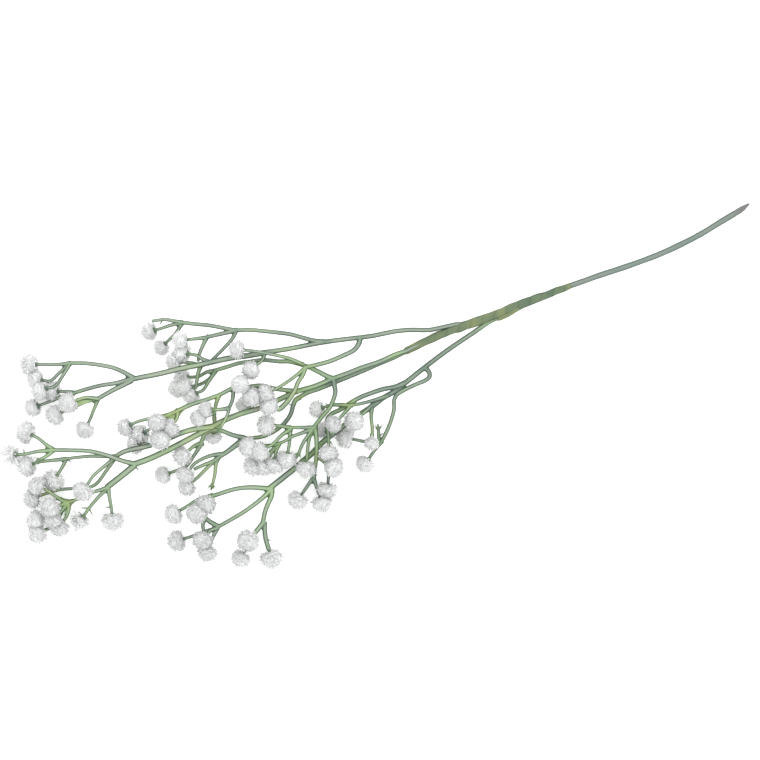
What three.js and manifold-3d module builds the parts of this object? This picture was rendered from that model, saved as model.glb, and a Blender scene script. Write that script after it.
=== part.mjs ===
// Artificial gypsophila stem, lying on a flat surface.
// Millimetres, +Z up. The cut end of the wire stem points to +X, and the middle of the
// foot print is the origin, with Z = 0 on the surface that the stem lies on.
//
// A coated wire stem carries four moulded sprays, bound to it with floral tape. Every
// flowering twig ends in a calyx cup and a peg, and a soft white pom-pom head is pushed
// onto the peg.

import * as THREE from "three";
import { mergeVertices } from "three/addons/utils/BufferGeometryUtils.js";
import Module from "manifold-3d";

const wasm = await Module();
wasm.setup();

// ---------------------------------------------------------------- driving sizes

const GAP = 0.3; // clearance between neighbouring pieces

const STEM_RADIUS = 2.0; // plastic coating of the wire stem
const WIRE_RADIUS = 0.5; // bare wire core inside the tape
const ROOT_RADIUS = 0.8; // thin root of a spray, laid beside the wire
const ROOT_OFFSET = WIRE_RADIUS + GAP + ROOT_RADIUS;
const TAPE_RADIUS = 2.95;

const LIMB_RADIUS = 1.45; // side branches that fork again
const TWIG_RADIUS = 1.15; // last twigs

const CALYX_FOOT = 6.4; // distance of the calyx foot below the middle of a head
const CALYX_MOUTH = 3.8;
const CALYX_FOOT_RADIUS = 1.1;
const CALYX_MOUTH_RADIUS = 1.9;
const PEG_TIP = -1.0;

const HEAD_BASE = -3.5; // flat underside of a pom-pom head, from its middle
const HEAD_BASE_RADIUS = 4.6;
const HEAD_RADIUS = 6.1;
const HEAD_SHOULDER = 4.1;
const HEAD_SHOULDER_RADIUS = 4.1;
const HEAD_TOP = 5.5;
const HEAD_SIDES = 6;

const TWIG_SIDES = 4;
const STEM_SIDES = 8;

const LYING_ANGLE = THREE.MathUtils.degToRad(-20); // turns the drawing so that +X is the stem

// ---------------------------------------------------------------- colours

const COATED_WIRE = new THREE.MeshStandardMaterial({ color: 0x6f8b80, roughness: 0.6, metalness: 0 });
const FLORAL_TAPE = new THREE.MeshStandardMaterial({ color: 0x85955c, roughness: 0.8, metalness: 0 });
const MOULDED_GREEN = new THREE.MeshStandardMaterial({ color: 0x6f9a72, roughness: 0.5, metalness: 0 });
const SOFT_WHITE = new THREE.MeshStandardMaterial({ color: 0xf0f1f2, roughness: 0.7, metalness: 0 });

// ---------------------------------------------------------------- layout
//
// Points are [x, y, z] over the surface. The plan is drawn from above, with the place
// where the upper spray leaves the tape near x = 0, y = 0. Rods are the strong branches
// of a spray, and each spray has rods of its own radius. The last point of a flower's
// path is the middle of its head.

const STEM_LINE = [
  [200.3, 84, 2], [190.3, 77.9, 2], [180.3, 71.9, 2.4], [167, 63.8, 3.6], [152.8, 56.5, 5.4], [139.8, 50.6, 7.4],
  [127, 45.7, 9.2], [113, 40.8, 11], [99.8, 36.5, 13], [86.7, 31.8, 15], [79.7, 29.4, 16.2],
];
const TAPE_LINE = [
  [84.5, 31, 15.4], [69, 25.3, 18], [53, 19.2, 20.5], [39, 13.5, 22.5], [20, 6.7, 25], [7, 2, 26.5],
  [-10, -4.7, 28], [-24, -11.4, 28.8], [-32, -15.6, 29],
];
const WIRE_LINE = [[82, 30.2, 15.8], ...TAPE_LINE.slice(1, -1)];

const SIDE = {
  left: new THREE.Vector3(-0.36, 0.93, 0).normalize(),
  right: new THREE.Vector3(0.36, -0.93, 0).normalize(),
  above: new THREE.Vector3(0, 0, 1),
  below: new THREE.Vector3(0, 0, -1),
};

const UPPER_SPRAY = {
  name: "upper_spray",
  rodRadius: 1.75,
  root: { side: SIDE.left, beside: [[39, 13.5, 22.5], [20, 6.7, 25], [9, 2.7, 26.3]], exit: [3, 3.6, 27.4] },
  rods: [
    [[4, 3.8, 27.2], [-4, 2, 28.5], [-14, 0, 30], [-27, 0, 32], [-37, -1, 34], [-52, -4, 36], [-60, -5, 37],
      [-83, -8, 38], [-110, -13, 38], [-124, -15, 37]],
    [[-123, -15, 37], [-134, -17, 36], [-148, -19, 34], [-167, -23.2, 31], [-180, -25.8, 29],
      [-193, -29, 27], [-207, -31.8, 24], [-212, -32.8, 23]],
  ],
  limbs: [
    [[-82, -8, 38], [-91, -7, 38], [-106, -3, 38], [-113, -2, 37], [-133, 0, 34], [-143, 0, 32],
      [-160, 3, 27], [-170, 4, 24], [-179, 5, 20]],
    [[-60, -5, 37], [-60.6, -8.8, 37.4], [-64, -13.4, 38.4], [-71, -17, 39.8], [-80, -20.8, 41.3],
      [-89, -23.3, 42], [-97, -25, 42]],
    [[-211, -32, 23], [-218.5, -27.6, 23], [-224.5, -25.2, 23], [-233, -23.4, 22], [-243, -22.2, 20],
      [-254, -22, 17]],
    [[-211, -32, 23], [-221, -35, 22], [-233, -37, 20], [-241, -39, 18], [-251, -42, 16]],
    [[-212, -33.5, 23], [-218.5, -37, 23], [-224.5, -40, 22.5], [-233, -44.8, 21.5], [-235, -46, 21]],
  ],
  twigs: [
    [[-178, 5, 20], [-184, 6, 18], [-190, 7, 16], [-199, 6, 13]],
    [[-142, 0, 32], [-150, -2, 31], [-163, -5, 28]],
    [[-142, 0, 32], [-145.2, -6, 30.5], [-150, -11.5, 29], [-156, -17.5, 27], [-160.5, -21.5, 25.5],
      [-167, -24, 23]],
    [[-162, -5, 28], [-164.5, -10, 27], [-167, -16, 25], [-168, -21, 23.3]],
  ],
  flowers: {
    flower_01: [[[-253, -22, 17], [-262, -23, 14], [-271, -23, 11], [-281, -23, 8]]],
    flower_cluster_02: [
      [[-253, -22, 17], [-260, -28, 14], [-267, -34, 11], [-277, -33, 9]],
      [[-253, -22, 17], [-258, -30, 16], [-263, -37, 14], [-274, -41, 13]],
      [[-250, -42, 16], [-255, -41, 12], [-266, -41, 8]],
    ],
    flower_03: [[[-250, -42, 16], [-258, -44, 13], [-268, -48, 9], [-279, -52, 5.9]]],
    flower_04: [[[-234, -46, 21], [-243, -45, 22], [-255, -49, 26]]],
    flower_05: [[[-234, -46, 21], [-243, -48, 16], [-252, -52, 12], [-264, -57, 11]]],
    flower_06: [[[-234, -45, 21], [-238, -54, 13], [-240, -59, 8], [-244, -67, 9]]],
    flower_07: [[[-123, -15, 37], [-125, -20, 37], [-133, -27, 43]]],
    flower_08: [[[-178, 5, 20], [-187, 3, 15], [-193, 1, 11], [-201, -1, 8]]],
    flower_09: [[[-178, 5, 20], [-183, -2, 15], [-188, -7, 10], [-193, -12, 9]]],
    flower_cluster_10: [
      [[-162, -5, 28], [-171, -6, 25], [-180, -7, 25]],
      [[-160, -21.4, 31.8], [-165, -19.3, 29], [-169, -16.8, 26], [-179, -15, 22]],
      [[-166, -24, 23], [-172, -22, 19], [-184, -21, 18]],
    ],
    flower_cluster_11: [
      [[-166, -24, 23], [-169, -29, 20], [-177, -38, 16]],
    ],
    flower_cluster_13: [
      [[-96, -25, 42], [-102, -30, 41], [-112, -37, 40], [-123, -43, 43]],
      [[-96, -25, 42], [-98, -30, 41], [-101, -34.5, 40.5], [-103, -41, 39.5], [-107, -47, 38.3],
        [-112, -51.5, 37.5], [-121, -50, 43]],
    ],
  },
};

const LONG_SPRAY = {
  name: "long_spray",
  rodRadius: 2.0,
  root: { side: SIDE.above, beside: [[-6, -3.1, 27.7], [-24, -11.4, 28.8]], exit: [-30, -14.3, 30.9] },
  rods: [
    [[-29, -13.9, 30.9], [-36, -16.2, 31.2], [-46.9, -21.1, 32], [-59.9, -25.5, 32.6], [-67, -28.4, 33],
      [-78, -32.4, 33], [-90, -37.4, 33], [-102, -41, 33], [-111, -45, 33], [-125, -51.5, 32],
      [-140, -56, 31], [-152, -61, 30], [-159, -64.8, 30], [-167, -69, 29], [-181, -76.4, 27],
      [-190, -81, 26], [-201, -86, 24], [-211, -89.6, 22]],
    [[-210, -90, 22], [-219.7, -97.8, 18], [-229, -105, 15]],
  ],
  limbs: [
    [[-101, -41, 33], [-110, -40, 34], [-117, -39, 36], [-125, -37, 37], [-136, -38, 37], [-145, -39, 36],
      [-153, -43, 35], [-161, -46, 34], [-173, -50, 32], [-184, -55, 30], [-190, -57, 28]],
    [[-158, -64.6, 30], [-170, -66, 32], [-180, -69, 31], [-189, -73, 29], [-200, -77, 26], [-217, -81, 22],
      [-224, -85, 20]],
    [[-210, -89.4, 22], [-219, -87, 24], [-227, -84, 25], [-240, -80.8, 23], [-253, -80.2, 20],
      [-265, -80, 17]],
    [[-78, -32.6, 33], [-82, -30.8, 33.5], [-88, -27.6, 35.2], [-94, -24.8, 37], [-99, -23, 38]],
    [[-77.5, -33.5, 33], [-77, -37, 32], [-76.4, -41, 31], [-77.6, -46, 29.5], [-80.2, -51.8, 28],
      [-85, -57.5, 26], [-91, -65, 24]],
    [[-90, -64, 24], [-89, -73, 22], [-89, -83, 20], [-90, -92, 16], [-91, -99, 13]],
  ],
  twigs: [
    [[-154, -44, 35], [-156, -50, 32], [-157, -58, 27]],
    [[-144, -39, 36], [-145, -47, 37], [-147, -52, 38], [-148, -56, 37], [-151, -62, 36], [-154, -66, 35]],
    [[-181, -53, 30], [-193, -62, 25]],
    [[-223, -84.3, 20], [-232, -84.2, 18.5], [-240.5, -84.2, 17], [-249, -85, 15.5], [-257, -86, 14]],
    [[-228, -105, 15], [-236, -105, 16], [-243, -108, 15], [-249, -112.5, 13], [-256, -115.5, 12]],
    [[-264, -80, 17], [-269, -84, 15], [-275.5, -87.3, 14]],
    [[-98, -23, 38], [-107, -21, 36], [-113, -21, 34], [-125, -20, 30], [-133, -21, 28], [-140, -22, 27],
      [-150, -25, 26], [-157, -27, 25]],
    [[-90, -65, 24], [-100, -65, 24], [-107, -65, 23]],
    [[-91, -65, 24], [-94, -69.5, 23], [-98, -75.5, 21], [-101.7, -84, 18]],
    [[-90, -65, 24], [-97, -68, 23], [-105, -71, 22], [-110, -74, 21], [-115, -76, 20]],
    [[-89, -84, 19], [-84, -88, 16], [-81, -93, 13]],
  ],
  flowers: {
    flower_cluster_11: [
      [[-156, -27, 25], [-162, -28, 20], [-168, -31, 12], [-179, -32, 9]],
      [[-156, -27, 25], [-161, -33, 16], [-169, -37, 7], [-183, -39, 8]],
      [[-156, -27, 25], [-161, -35, 20], [-164, -40, 17], [-173, -44, 15]],
    ],
    flower_12: [[[-98, -23, 38], [-107, -19, 42], [-120, -16, 44], [-131, -14, 43], [-142, -13, 43]]],
    flower_cluster_13: [
      [[-124, -37, 37], [-128, -40, 38], [-132, -45, 43]],
    ],
    flower_14: [[[-133, -38, 37], [-136, -38, 40], [-140, -36, 47]]],
    flower_15: [[[-136, -54, 31], [-131, -50, 25], [-130, -49, 17], [-138, -50, 17]]],
    flower_cluster_16: [
      [[-147, -52, 38], [-153, -53, 37], [-163, -53, 37]],
      [[-156, -55, 29], [-161, -57, 30], [-168, -59, 35]],
    ],
    flower_17: [[[-157, -58, 27], [-157, -63, 22], [-158, -71, 14]]],
    flower_cluster_18: [
      [[-181, -53, 30], [-182, -59, 31], [-187, -66, 36]],
      [[-188, -57, 29], [-191, -58, 31], [-195, -62.5, 38]],
      [[-187, -72.5, 29], [-191, -75, 30], [-193, -72.5, 38]],
    ],
    flower_cluster_19: [
      [[-192, -61, 25], [-200, -66, 21], [-207, -70, 16]],
      [[-199, -77, 26], [-203, -76, 21], [-210, -76, 15]],
    ],
    flower_20: [[[-189, -57, 28], [-200, -59, 25], [-208, -61, 20], [-217, -65, 17]]],
    flower_21: [[[-264, -80, 17], [-270, -76, 14], [-275, -72, 11], [-283.6, -68, 8]]],
    flower_22: [[[-264, -80, 17], [-275, -81, 14], [-285, -83, 11], [-294, -83, 8]]],
    flower_23: [[[-256, -86, 14], [-266, -87, 11], [-274, -88, 9], [-283, -91, 7]]],
    flower_24: [[[-256, -86, 14], [-259, -92, 10], [-265, -101, 6]]],
    flower_25: [[[-223, -85, 20], [-230, -90.5, 21.5], [-238, -97.5, 22.5], [-245, -108, 25]]],
    flower_cluster_26: [
      [[-223, -85, 20], [-229, -93.5, 15], [-236.5, -103, 10.5], [-242, -105.2, 8.5], [-249, -105.6, 8],
        [-262, -106.8, 7], [-269, -109, 7.3], [-279.5, -112.5, 9]],
      [[-251, -114, 12], [-257, -114.5, 12], [-263, -111, 12.5], [-268.5, -107.2, 13], [-276, -104, 13.5]],
    ],
    flower_cluster_27: [
      [[-255, -115.3, 12], [-259, -116.5, 13], [-267, -119, 19]],
      [[-255, -115.3, 12], [-258.5, -120, 12.5], [-265, -127, 15]],
      [[-254.5, -116, 12], [-254.5, -120, 11.5], [-256, -124.5, 10.5], [-261, -132, 11]],
    ],
    flower_cluster_28: [
      [[-255, -115.5, 12], [-260, -122, 7], [-268, -127, 4.5], [-277, -127, 8]],
      [[-259.5, -121.5, 7.3], [-265, -131, 3.5], [-276, -136, 7]],
    ],
    flower_29: [[[-228, -105, 15], [-235, -112, 13], [-241, -119, 10], [-247, -128, 8]]],
    flower_30: [[[-228, -105, 15], [-227, -113, 11], [-226, -119, 7], [-225, -128, 6.1]]],
    flower_31: [[[-106, -65, 23], [-113, -64, 23], [-123, -63, 26]]],
    flower_cluster_32: [
      [[-106, -66, 23], [-112, -70, 23], [-118, -76, 24], [-127, -81, 26]],
      [[-114, -76, 20], [-121, -77, 19], [-127, -77, 19], [-135, -78, 24]],
    ],
    flower_cluster_33: [
      [[-114, -76, 20], [-122, -83, 14], [-132, -91, 12]],
      [[-114, -76, 20], [-119, -82, 15], [-125, -91, 12]],
      [[-114, -76, 20], [-116, -81, 17], [-117, -90, 14]],
      [[-106, -65, 23], [-106.8, -71, 21], [-107.3, -77, 19], [-109, -86.5, 16.5]],
    ],
    flower_34: [[[-91, -65, 24], [-94, -73, 21], [-95, -81, 18], [-96, -93, 18]]],
    flower_cluster_35: [
      [[-81, -92, 13], [-81, -98, 10], [-82, -107.5, 9]],
      [[-91, -98, 13], [-89, -105, 9], [-85, -116, 8]],
    ],
    flower_36: [[[-91, -98, 13], [-95, -104, 9], [-102, -114, 8]]],
    flower_cluster_37: [
      [[-83, -89, 16], [-81, -89, 20], [-77, -92, 25]],
    ],
  },
};

const CURVED_SPRAY = {
  name: "curved_spray",
  rodRadius: 1.6,
  root: { side: SIDE.below, beside: [[-6, -3.1, 27.7], [-24, -11.4, 28.8]], exit: [-30, -14.3, 27.1] },
  rods: [
    [[-29, -13.9, 27.1], [-36.1, -17.7, 27], [-47.2, -22.8, 26.7], [-60.2, -28.7, 25.6], [-73.2, -34.6, 24],
      [-86.7, -40.5, 22.5], [-95, -43, 21.8], [-101, -45.2, 21]],
  ],
  limbs: [
    [[-100, -44.8, 21], [-103, -46.8, 20.5], [-104.6, -50.5, 20], [-106, -55.5, 19.5], [-109, -60.5, 19],
      [-113, -64.5, 18], [-118, -68, 17], [-125, -71, 17], [-132, -72, 17], [-138, -72, 18]],
    [[-137, -72, 18], [-145, -70, 20], [-153, -67, 22], [-159, -67, 22.5], [-163, -69, 21], [-166, -75, 18]],
    [[-137, -72.5, 18], [-143, -77, 17], [-149.5, -81.8, 15], [-155, -85.2, 14]],
  ],
  twigs: [
    [[-154, -84.5, 14], [-156, -89, 12], [-157, -97, 10], [-159, -105, 9]],
  ],
  flowers: {
    flower_38: [[[-165, -75, 18], [-170, -77, 17], [-179, -84, 21]]],
    flower_39: [[[-165, -75, 18], [-171, -84, 13], [-176, -91, 9], [-183, -94, 6], [-192, -97, 6.1]]],
    flower_cluster_40: [
      [[-154, -84.8, 14], [-165, -87, 15], [-170, -91, 15], [-177, -97, 18]],
      [[-154, -84.8, 14], [-159, -89, 12], [-168, -98, 9], [-176, -105, 11]],
    ],
  },
};

const LOW_SPRAY = {
  name: "low_spray",
  rodRadius: 1.75,
  root: { side: SIDE.right, beside: [[69, 25, 18], [53, 19, 20.5], [41, 14.3, 22.2]], exit: [34.5, 9, 22.7] },
  rods: [
    [[35.5, 9.5, 22.6], [27, 6, 23], [16, -1.5, 23], [-1, -13, 22.5], [-17, -25, 22], [-27, -33, 21],
      [-38, -41.5, 20], [-44.5, -45.2, 19], [-51, -50.2, 18], [-67, -61, 15], [-85, -75, 13],
      [-92, -82.3, 12.3], [-99, -88.2, 12], [-104.5, -93, 12], [-110.5, -97.8, 12], [-120, -105.3, 12]],
  ],
  limbs: [
    [[-30, -35.3, 21], [-36.5, -37.9, 21.8], [-44.5, -39.4, 22.3], [-53, -42.2, 23], [-60, -45, 23],
      [-66.5, -48.6, 22.3], [-73, -53, 21], [-79, -56, 20], [-82, -60, 19], [-81.7, -67, 18]],
    [[-17, -25, 22], [-14, -28, 22], [-13.6, -31, 22], [-16, -33.3, 22], [-24, -36.8, 21], [-31, -40.3, 20],
      [-35.5, -43.3, 19], [-37.3, -47, 17.5], [-37.2, -52, 16], [-38.9, -59.2, 14], [-42.3, -68, 11],
      [-46, -75, 8]],
    [[-119, -106, 12], [-133, -105, 13], [-143, -106, 14], [-153, -109, 14], [-159, -111, 13]],
    [[-119, -106, 12], [-125, -112, 12], [-137, -121, 13], [-147, -127, 12], [-156, -132, 10]],
    [[-119, -105, 12], [-119, -110, 12], [-123, -120, 10], [-125, -129, 8]],
  ],
  twigs: [
    [[-42, -44, 20], [-55, -48, 22], [-65, -50, 23.5], [-71, -50, 23.5]],
    [[-52, -51, 18], [-52.5, -58, 16], [-51.8, -66, 13], [-52, -72, 10]],
    [[-47.5, -77, 7.2], [-47.4, -71, 8.5], [-47.9, -64.5, 10]],
  ],
  flowers: {
    flower_cluster_37: [
      [[-81.7, -66, 18], [-81, -72, 20], [-81, -83, 25]],
    ],
    flower_41: [[[-70, -50, 23.5], [-79, -50, 22.5], [-89, -53, 19]]],
    flower_42: [[[-66, -50, 23.5], [-71, -56, 25], [-78, -63, 31]]],
    flower_43: [[[-51, -49, 18], [-57, -55, 20], [-64, -61, 26]]],
    flower_44: [[[-51, -71, 10], [-56.5, -74.3, 8.5], [-61, -73.6, 8.5], [-70, -71.8, 9]]],
    flower_45: [[[-45, -74, 8], [-50, -80, 6], [-57, -90, 6]]],
    flower_cluster_46: [
      [[-158, -111, 13], [-161, -112, 14], [-163, -117, 20]],
      [[-155, -131, 10], [-160, -128, 11], [-164, -125, 13], [-169, -122, 20]],
    ],
    flower_47: [[[-158, -110, 13], [-168, -113, 9], [-176, -118, 6], [-185, -123, 6.1]]],
    flower_48: [[[-155, -132, 10], [-162, -134, 8], [-173, -138, 6], [-183, -141, 6.1]]],
    flower_cluster_49: [
      [[-155, -132, 10], [-160, -134, 14], [-165, -141, 19]],
      [[-155, -132, 10], [-158, -138, 11], [-162, -149, 14]],
    ],
    flower_50: [[[-124, -128, 8], [-129, -134, 11], [-135, -141, 17]]],
    flower_51: [[[-124, -128, 8], [-130, -136, 6], [-135, -144, 5], [-140, -153, 7]]],
    flower_52: [[[-124, -128, 8], [-123, -139, 6], [-119, -153, 7]]],
    flower_53: [[[-52, -70, 11], [-52, -71, 14], [-52.5, -76, 20]]],
    flower_54: [[[-81.7, -66, 18], [-80, -68.5, 15], [-78.5, -68.2, 11.5], [-86.5, -66.5, 9.5]]],
  },
};

const SPRAYS = [UPPER_SPRAY, LONG_SPRAY, CURVED_SPRAY, LOW_SPRAY];

// ---------------------------------------------------------------- solids

function toPoint([x, y, z]) {
  return new THREE.Vector3(x, y, z);
}

// A closed three.js geometry becomes a solid that can be joined and cut.
function toSolid(geometry) {
  const bare = new THREE.BufferGeometry();
  bare.setAttribute("position", geometry.attributes.position);
  bare.setIndex(geometry.index);
  const merged = mergeVertices(bare, 1e-4);
  const mesh = new wasm.Mesh({
    numProp: 3,
    vertProperties: new Float32Array(merged.attributes.position.array),
    triVerts: new Uint32Array(merged.index.array),
  });
  return new wasm.Manifold(mesh);
}

function toGeometry(solid) {
  const { vertProperties, triVerts } = solid.getMesh();
  const geometry = new THREE.BufferGeometry();
  geometry.setAttribute("position", new THREE.BufferAttribute(new Float32Array(vertProperties), 3));
  geometry.setIndex(new THREE.BufferAttribute(new Uint32Array(triVerts), 1));
  geometry.computeVertexNormals();
  return geometry;
}

function join(solids) {
  return solids.reduce((whole, solid) => whole.add(solid));
}

function roundSection(radius, sides) {
  const corners = [];
  for (let side = 0; side < sides; side += 1) {
    const angle = (2 * Math.PI * side) / sides;
    corners.push(new THREE.Vector2(radius * Math.cos(angle), radius * Math.sin(angle)));
  }
  return new THREE.Shape(corners);
}

// A rod bent smoothly through the given points, with as many straight pieces as the
// points have between them.
function bentRod(points, radius, sides = TWIG_SIDES) {
  const path = new THREE.CatmullRomCurve3(points, false, "centripetal");
  const options = { steps: points.length - 1, bevelEnabled: false, extrudePath: path };
  return toSolid(new THREE.ExtrudeGeometry(roundSection(radius, sides), options));
}

// Turns a geometry made along +Y so that it points along `direction` from `place`.
function aim(geometry, place, direction) {
  const turn = new THREE.Quaternion().setFromUnitVectors(new THREE.Vector3(0, 1, 0), direction);
  return geometry.applyMatrix4(new THREE.Matrix4().compose(place, turn, new THREE.Vector3(1, 1, 1)));
}

// ---------------------------------------------------------------- pieces

// The direction in which a head is pushed onto its twig, and the middle of the head.
function headSeat(path) {
  const middle = toPoint(path.at(-1));
  const direction = middle.clone().sub(toPoint(path.at(-2))).normalize();
  return { middle, direction };
}

// The calyx cup at the end of a twig, with the pointed peg that holds the head.
function calyx({ middle, direction }, grow) {
  const outline = [
    new THREE.Vector2(0, -CALYX_FOOT - grow),
    new THREE.Vector2(CALYX_FOOT_RADIUS + grow, -CALYX_FOOT - grow),
    new THREE.Vector2(CALYX_MOUTH_RADIUS + grow, -CALYX_MOUTH + grow),
    new THREE.Vector2(0, PEG_TIP + grow),
  ];
  return toSolid(aim(new THREE.LatheGeometry(outline, TWIG_SIDES), middle, direction));
}

// A twig that ends in a flower. `grow` thickens it all over, which makes the clearance
// that is cut from its neighbours.
function floweringTwig(path, grow) {
  const seat = headSeat(path);
  const points = path.slice(0, -1).map(toPoint);
  points.push(seat.middle.clone().addScaledVector(seat.direction, -CALYX_FOOT + GAP));
  return bentRod(points, TWIG_RADIUS + grow).add(calyx(seat, grow));
}

function root({ side, beside, exit }, grow) {
  const points = beside.map((place) => toPoint(place).addScaledVector(side, ROOT_OFFSET));
  points.push(toPoint(exit));
  return bentRod(points, ROOT_RADIUS + grow);
}

function spray(layout, grow = 0) {
  const rods = layout.rods.map((path) => bentRod(path.map(toPoint), layout.rodRadius + grow));
  const limbs = layout.limbs.map((path) => bentRod(path.map(toPoint), LIMB_RADIUS + grow));
  const twigs = layout.twigs.map((path) => bentRod(path.map(toPoint), TWIG_RADIUS + grow));
  const flowering = Object.values(layout.flowers).flat().map((path) => floweringTwig(path, grow));
  return join([root(layout.root, grow), ...rods, ...limbs, ...twigs, ...flowering]);
}

function wireStem(grow = 0) {
  const coating = bentRod(STEM_LINE.map(toPoint), STEM_RADIUS + grow, STEM_SIDES);
  const wire = bentRod(WIRE_LINE.map(toPoint), WIRE_RADIUS + grow);
  return coating.add(wire);
}

// A pom-pom head: flat underneath, widest low down, and domed.
function pomPom({ middle, direction }) {
  const outline = [
    new THREE.Vector2(0, HEAD_BASE),
    new THREE.Vector2(HEAD_BASE_RADIUS, HEAD_BASE),
    new THREE.Vector2(HEAD_RADIUS, 0),
    new THREE.Vector2(HEAD_SHOULDER_RADIUS, HEAD_SHOULDER),
    new THREE.Vector2(0, HEAD_TOP),
  ];
  return toSolid(aim(new THREE.LatheGeometry(outline, HEAD_SIDES), middle, direction));
}

// Heads that stand so close that their petals mesh share one name and one solid.
function headsByName() {
  const named = new Map();
  for (const { flowers } of SPRAYS) {
    for (const [name, paths] of Object.entries(flowers)) {
      const heads = paths.map((path) => pomPom(headSeat(path)));
      named.set(name, [...(named.get(name) ?? []), ...heads]);
    }
  }
  return named;
}

// ---------------------------------------------------------------- assembly

const drawing = new THREE.Group();
drawing.rotation.z = LYING_ANGLE;

function place(name, solid, material) {
  const mesh = new THREE.Mesh(toGeometry(solid), material);
  mesh.name = name;
  drawing.add(mesh);
}

const clearance = join(SPRAYS.map((layout) => spray(layout, GAP)));
const stem = wireStem();
const wrapped = bentRod(TAPE_LINE.map(toPoint), TAPE_RADIUS, STEM_SIDES);

place("wire_stem", stem, COATED_WIRE);
place("floral_tape", wrapped.subtract(clearance).subtract(wireStem(GAP)), FLORAL_TAPE);
for (const layout of SPRAYS) {
  place(layout.name, spray(layout), MOULDED_GREEN);
}
for (const [name, heads] of headsByName()) {
  place(name, join(heads).subtract(clearance), SOFT_WHITE);
}

// The middle of the foot print becomes the origin, and the lowest point lies at Z = 0.
const part = new THREE.Group();
part.add(drawing);
part.updateMatrixWorld(true);
const box = new THREE.Box3().setFromObject(part, true);
const centre = box.getCenter(new THREE.Vector3());
drawing.position.set(-centre.x, -centre.y, -box.min.z);

export default part;
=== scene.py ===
# %% [markdown]
# # A stem of artificial gypsophila, lying down
#
# The real object is put together by hand from a few kinds of pieces. A thin steel wire with a
# plastic coating is the stem. Four branching sprays, each moulded in one from soft green plastic,
# are bound to it with crepe floral tape. Every twig ends in a small star-shaped calyx with a peg,
# and a white pom-pom of soft petals is pushed onto that peg.
#
# The construction comes from the packed model, which this script loads first and never moves.
# Each of its plain solids is then replaced by a finely made piece that lies in the same place.

# %% Load the packed model
import math

import bpy
import numpy as np
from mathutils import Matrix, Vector, kdtree


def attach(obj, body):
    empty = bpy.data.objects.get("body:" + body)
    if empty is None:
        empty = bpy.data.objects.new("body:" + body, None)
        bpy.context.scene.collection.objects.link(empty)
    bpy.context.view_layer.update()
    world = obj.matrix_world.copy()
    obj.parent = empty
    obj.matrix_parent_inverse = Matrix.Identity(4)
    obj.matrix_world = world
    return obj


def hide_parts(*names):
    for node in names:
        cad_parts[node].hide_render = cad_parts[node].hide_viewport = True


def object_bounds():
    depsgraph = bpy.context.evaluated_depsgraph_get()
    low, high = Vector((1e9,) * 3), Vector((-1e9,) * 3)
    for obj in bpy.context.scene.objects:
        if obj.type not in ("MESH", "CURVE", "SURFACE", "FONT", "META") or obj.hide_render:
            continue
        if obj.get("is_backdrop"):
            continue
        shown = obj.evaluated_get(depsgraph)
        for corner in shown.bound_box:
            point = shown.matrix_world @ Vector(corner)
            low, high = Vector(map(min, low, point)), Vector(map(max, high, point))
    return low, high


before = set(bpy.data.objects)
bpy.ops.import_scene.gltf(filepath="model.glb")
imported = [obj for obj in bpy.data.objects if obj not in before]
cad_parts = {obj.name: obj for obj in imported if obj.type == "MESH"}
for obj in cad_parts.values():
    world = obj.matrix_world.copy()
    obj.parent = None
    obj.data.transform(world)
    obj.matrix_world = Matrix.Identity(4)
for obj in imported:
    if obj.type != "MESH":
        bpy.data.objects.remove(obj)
cad_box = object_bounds()
print("construction nodes:", len(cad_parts))
print("construction size in mm:", [round(1000 * side) for side in cad_box[1] - cad_box[0]])

# %% [markdown]
# ## From the drawing to the part
#
# The stem was laid out in a drawing in millimetres, seen from above, and the part turns that
# drawing by 20 degrees so that the stem runs along X. All the points below are in the drawing,
# because they are easier to read there. One function takes them to metres in the part.

# %% Drawing to part
MM = 0.001
DRAWING_TURN = math.radians(-20)
DRAWING_ORIGIN = np.array([46.8960, 14.1674, 0.1])  # where the drawing's origin lies in the part
FLOOR_CLEARANCE = 0.05


def in_part(points):
    """Drawing millimetres to metres in the part. Nothing reaches below the surface it lies on."""
    x, y, z = np.asarray(points, float).T
    cos, sin = math.cos(DRAWING_TURN), math.sin(DRAWING_TURN)
    turned = np.stack([x * cos - y * sin, x * sin + y * cos, z], axis=1) + DRAWING_ORIGIN
    turned[:, 2] = np.maximum(turned[:, 2], FLOOR_CLEARANCE)
    return turned * MM


print("the drawing's origin in the part, in m:", in_part([(0, 0, 0)])[0].round(4))

# %% [markdown]
# ## Camera
#
# A cut stem with no vase lies on the table, so the camera looks straight down on it. A long lens
# from far away keeps the twigs that lie high from growing against those that lie low.

# %% Camera
VIEW_MIDDLE = (-46.667, -33.333, 20.0)
VIEW_WIDTH = 506.7
LENS = 600.0
SENSOR = 36.0

camera_data = bpy.data.cameras.new("camera")
camera_data.lens = LENS
camera_data.sensor_width = SENSOR
camera_data.clip_start = 0.1
camera_data.clip_end = 50.0
camera = bpy.data.objects.new("camera", camera_data)
camera_height = VIEW_WIDTH * LENS / SENSOR * MM
camera.location = Vector(in_part([VIEW_MIDDLE])[0]) + Vector((0, 0, camera_height))
camera.rotation_euler = (0, 0, DRAWING_TURN)
bpy.context.scene.collection.objects.link(camera)
bpy.context.scene.camera = camera
print("camera height in m:", round(camera.location.z, 3))
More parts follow.
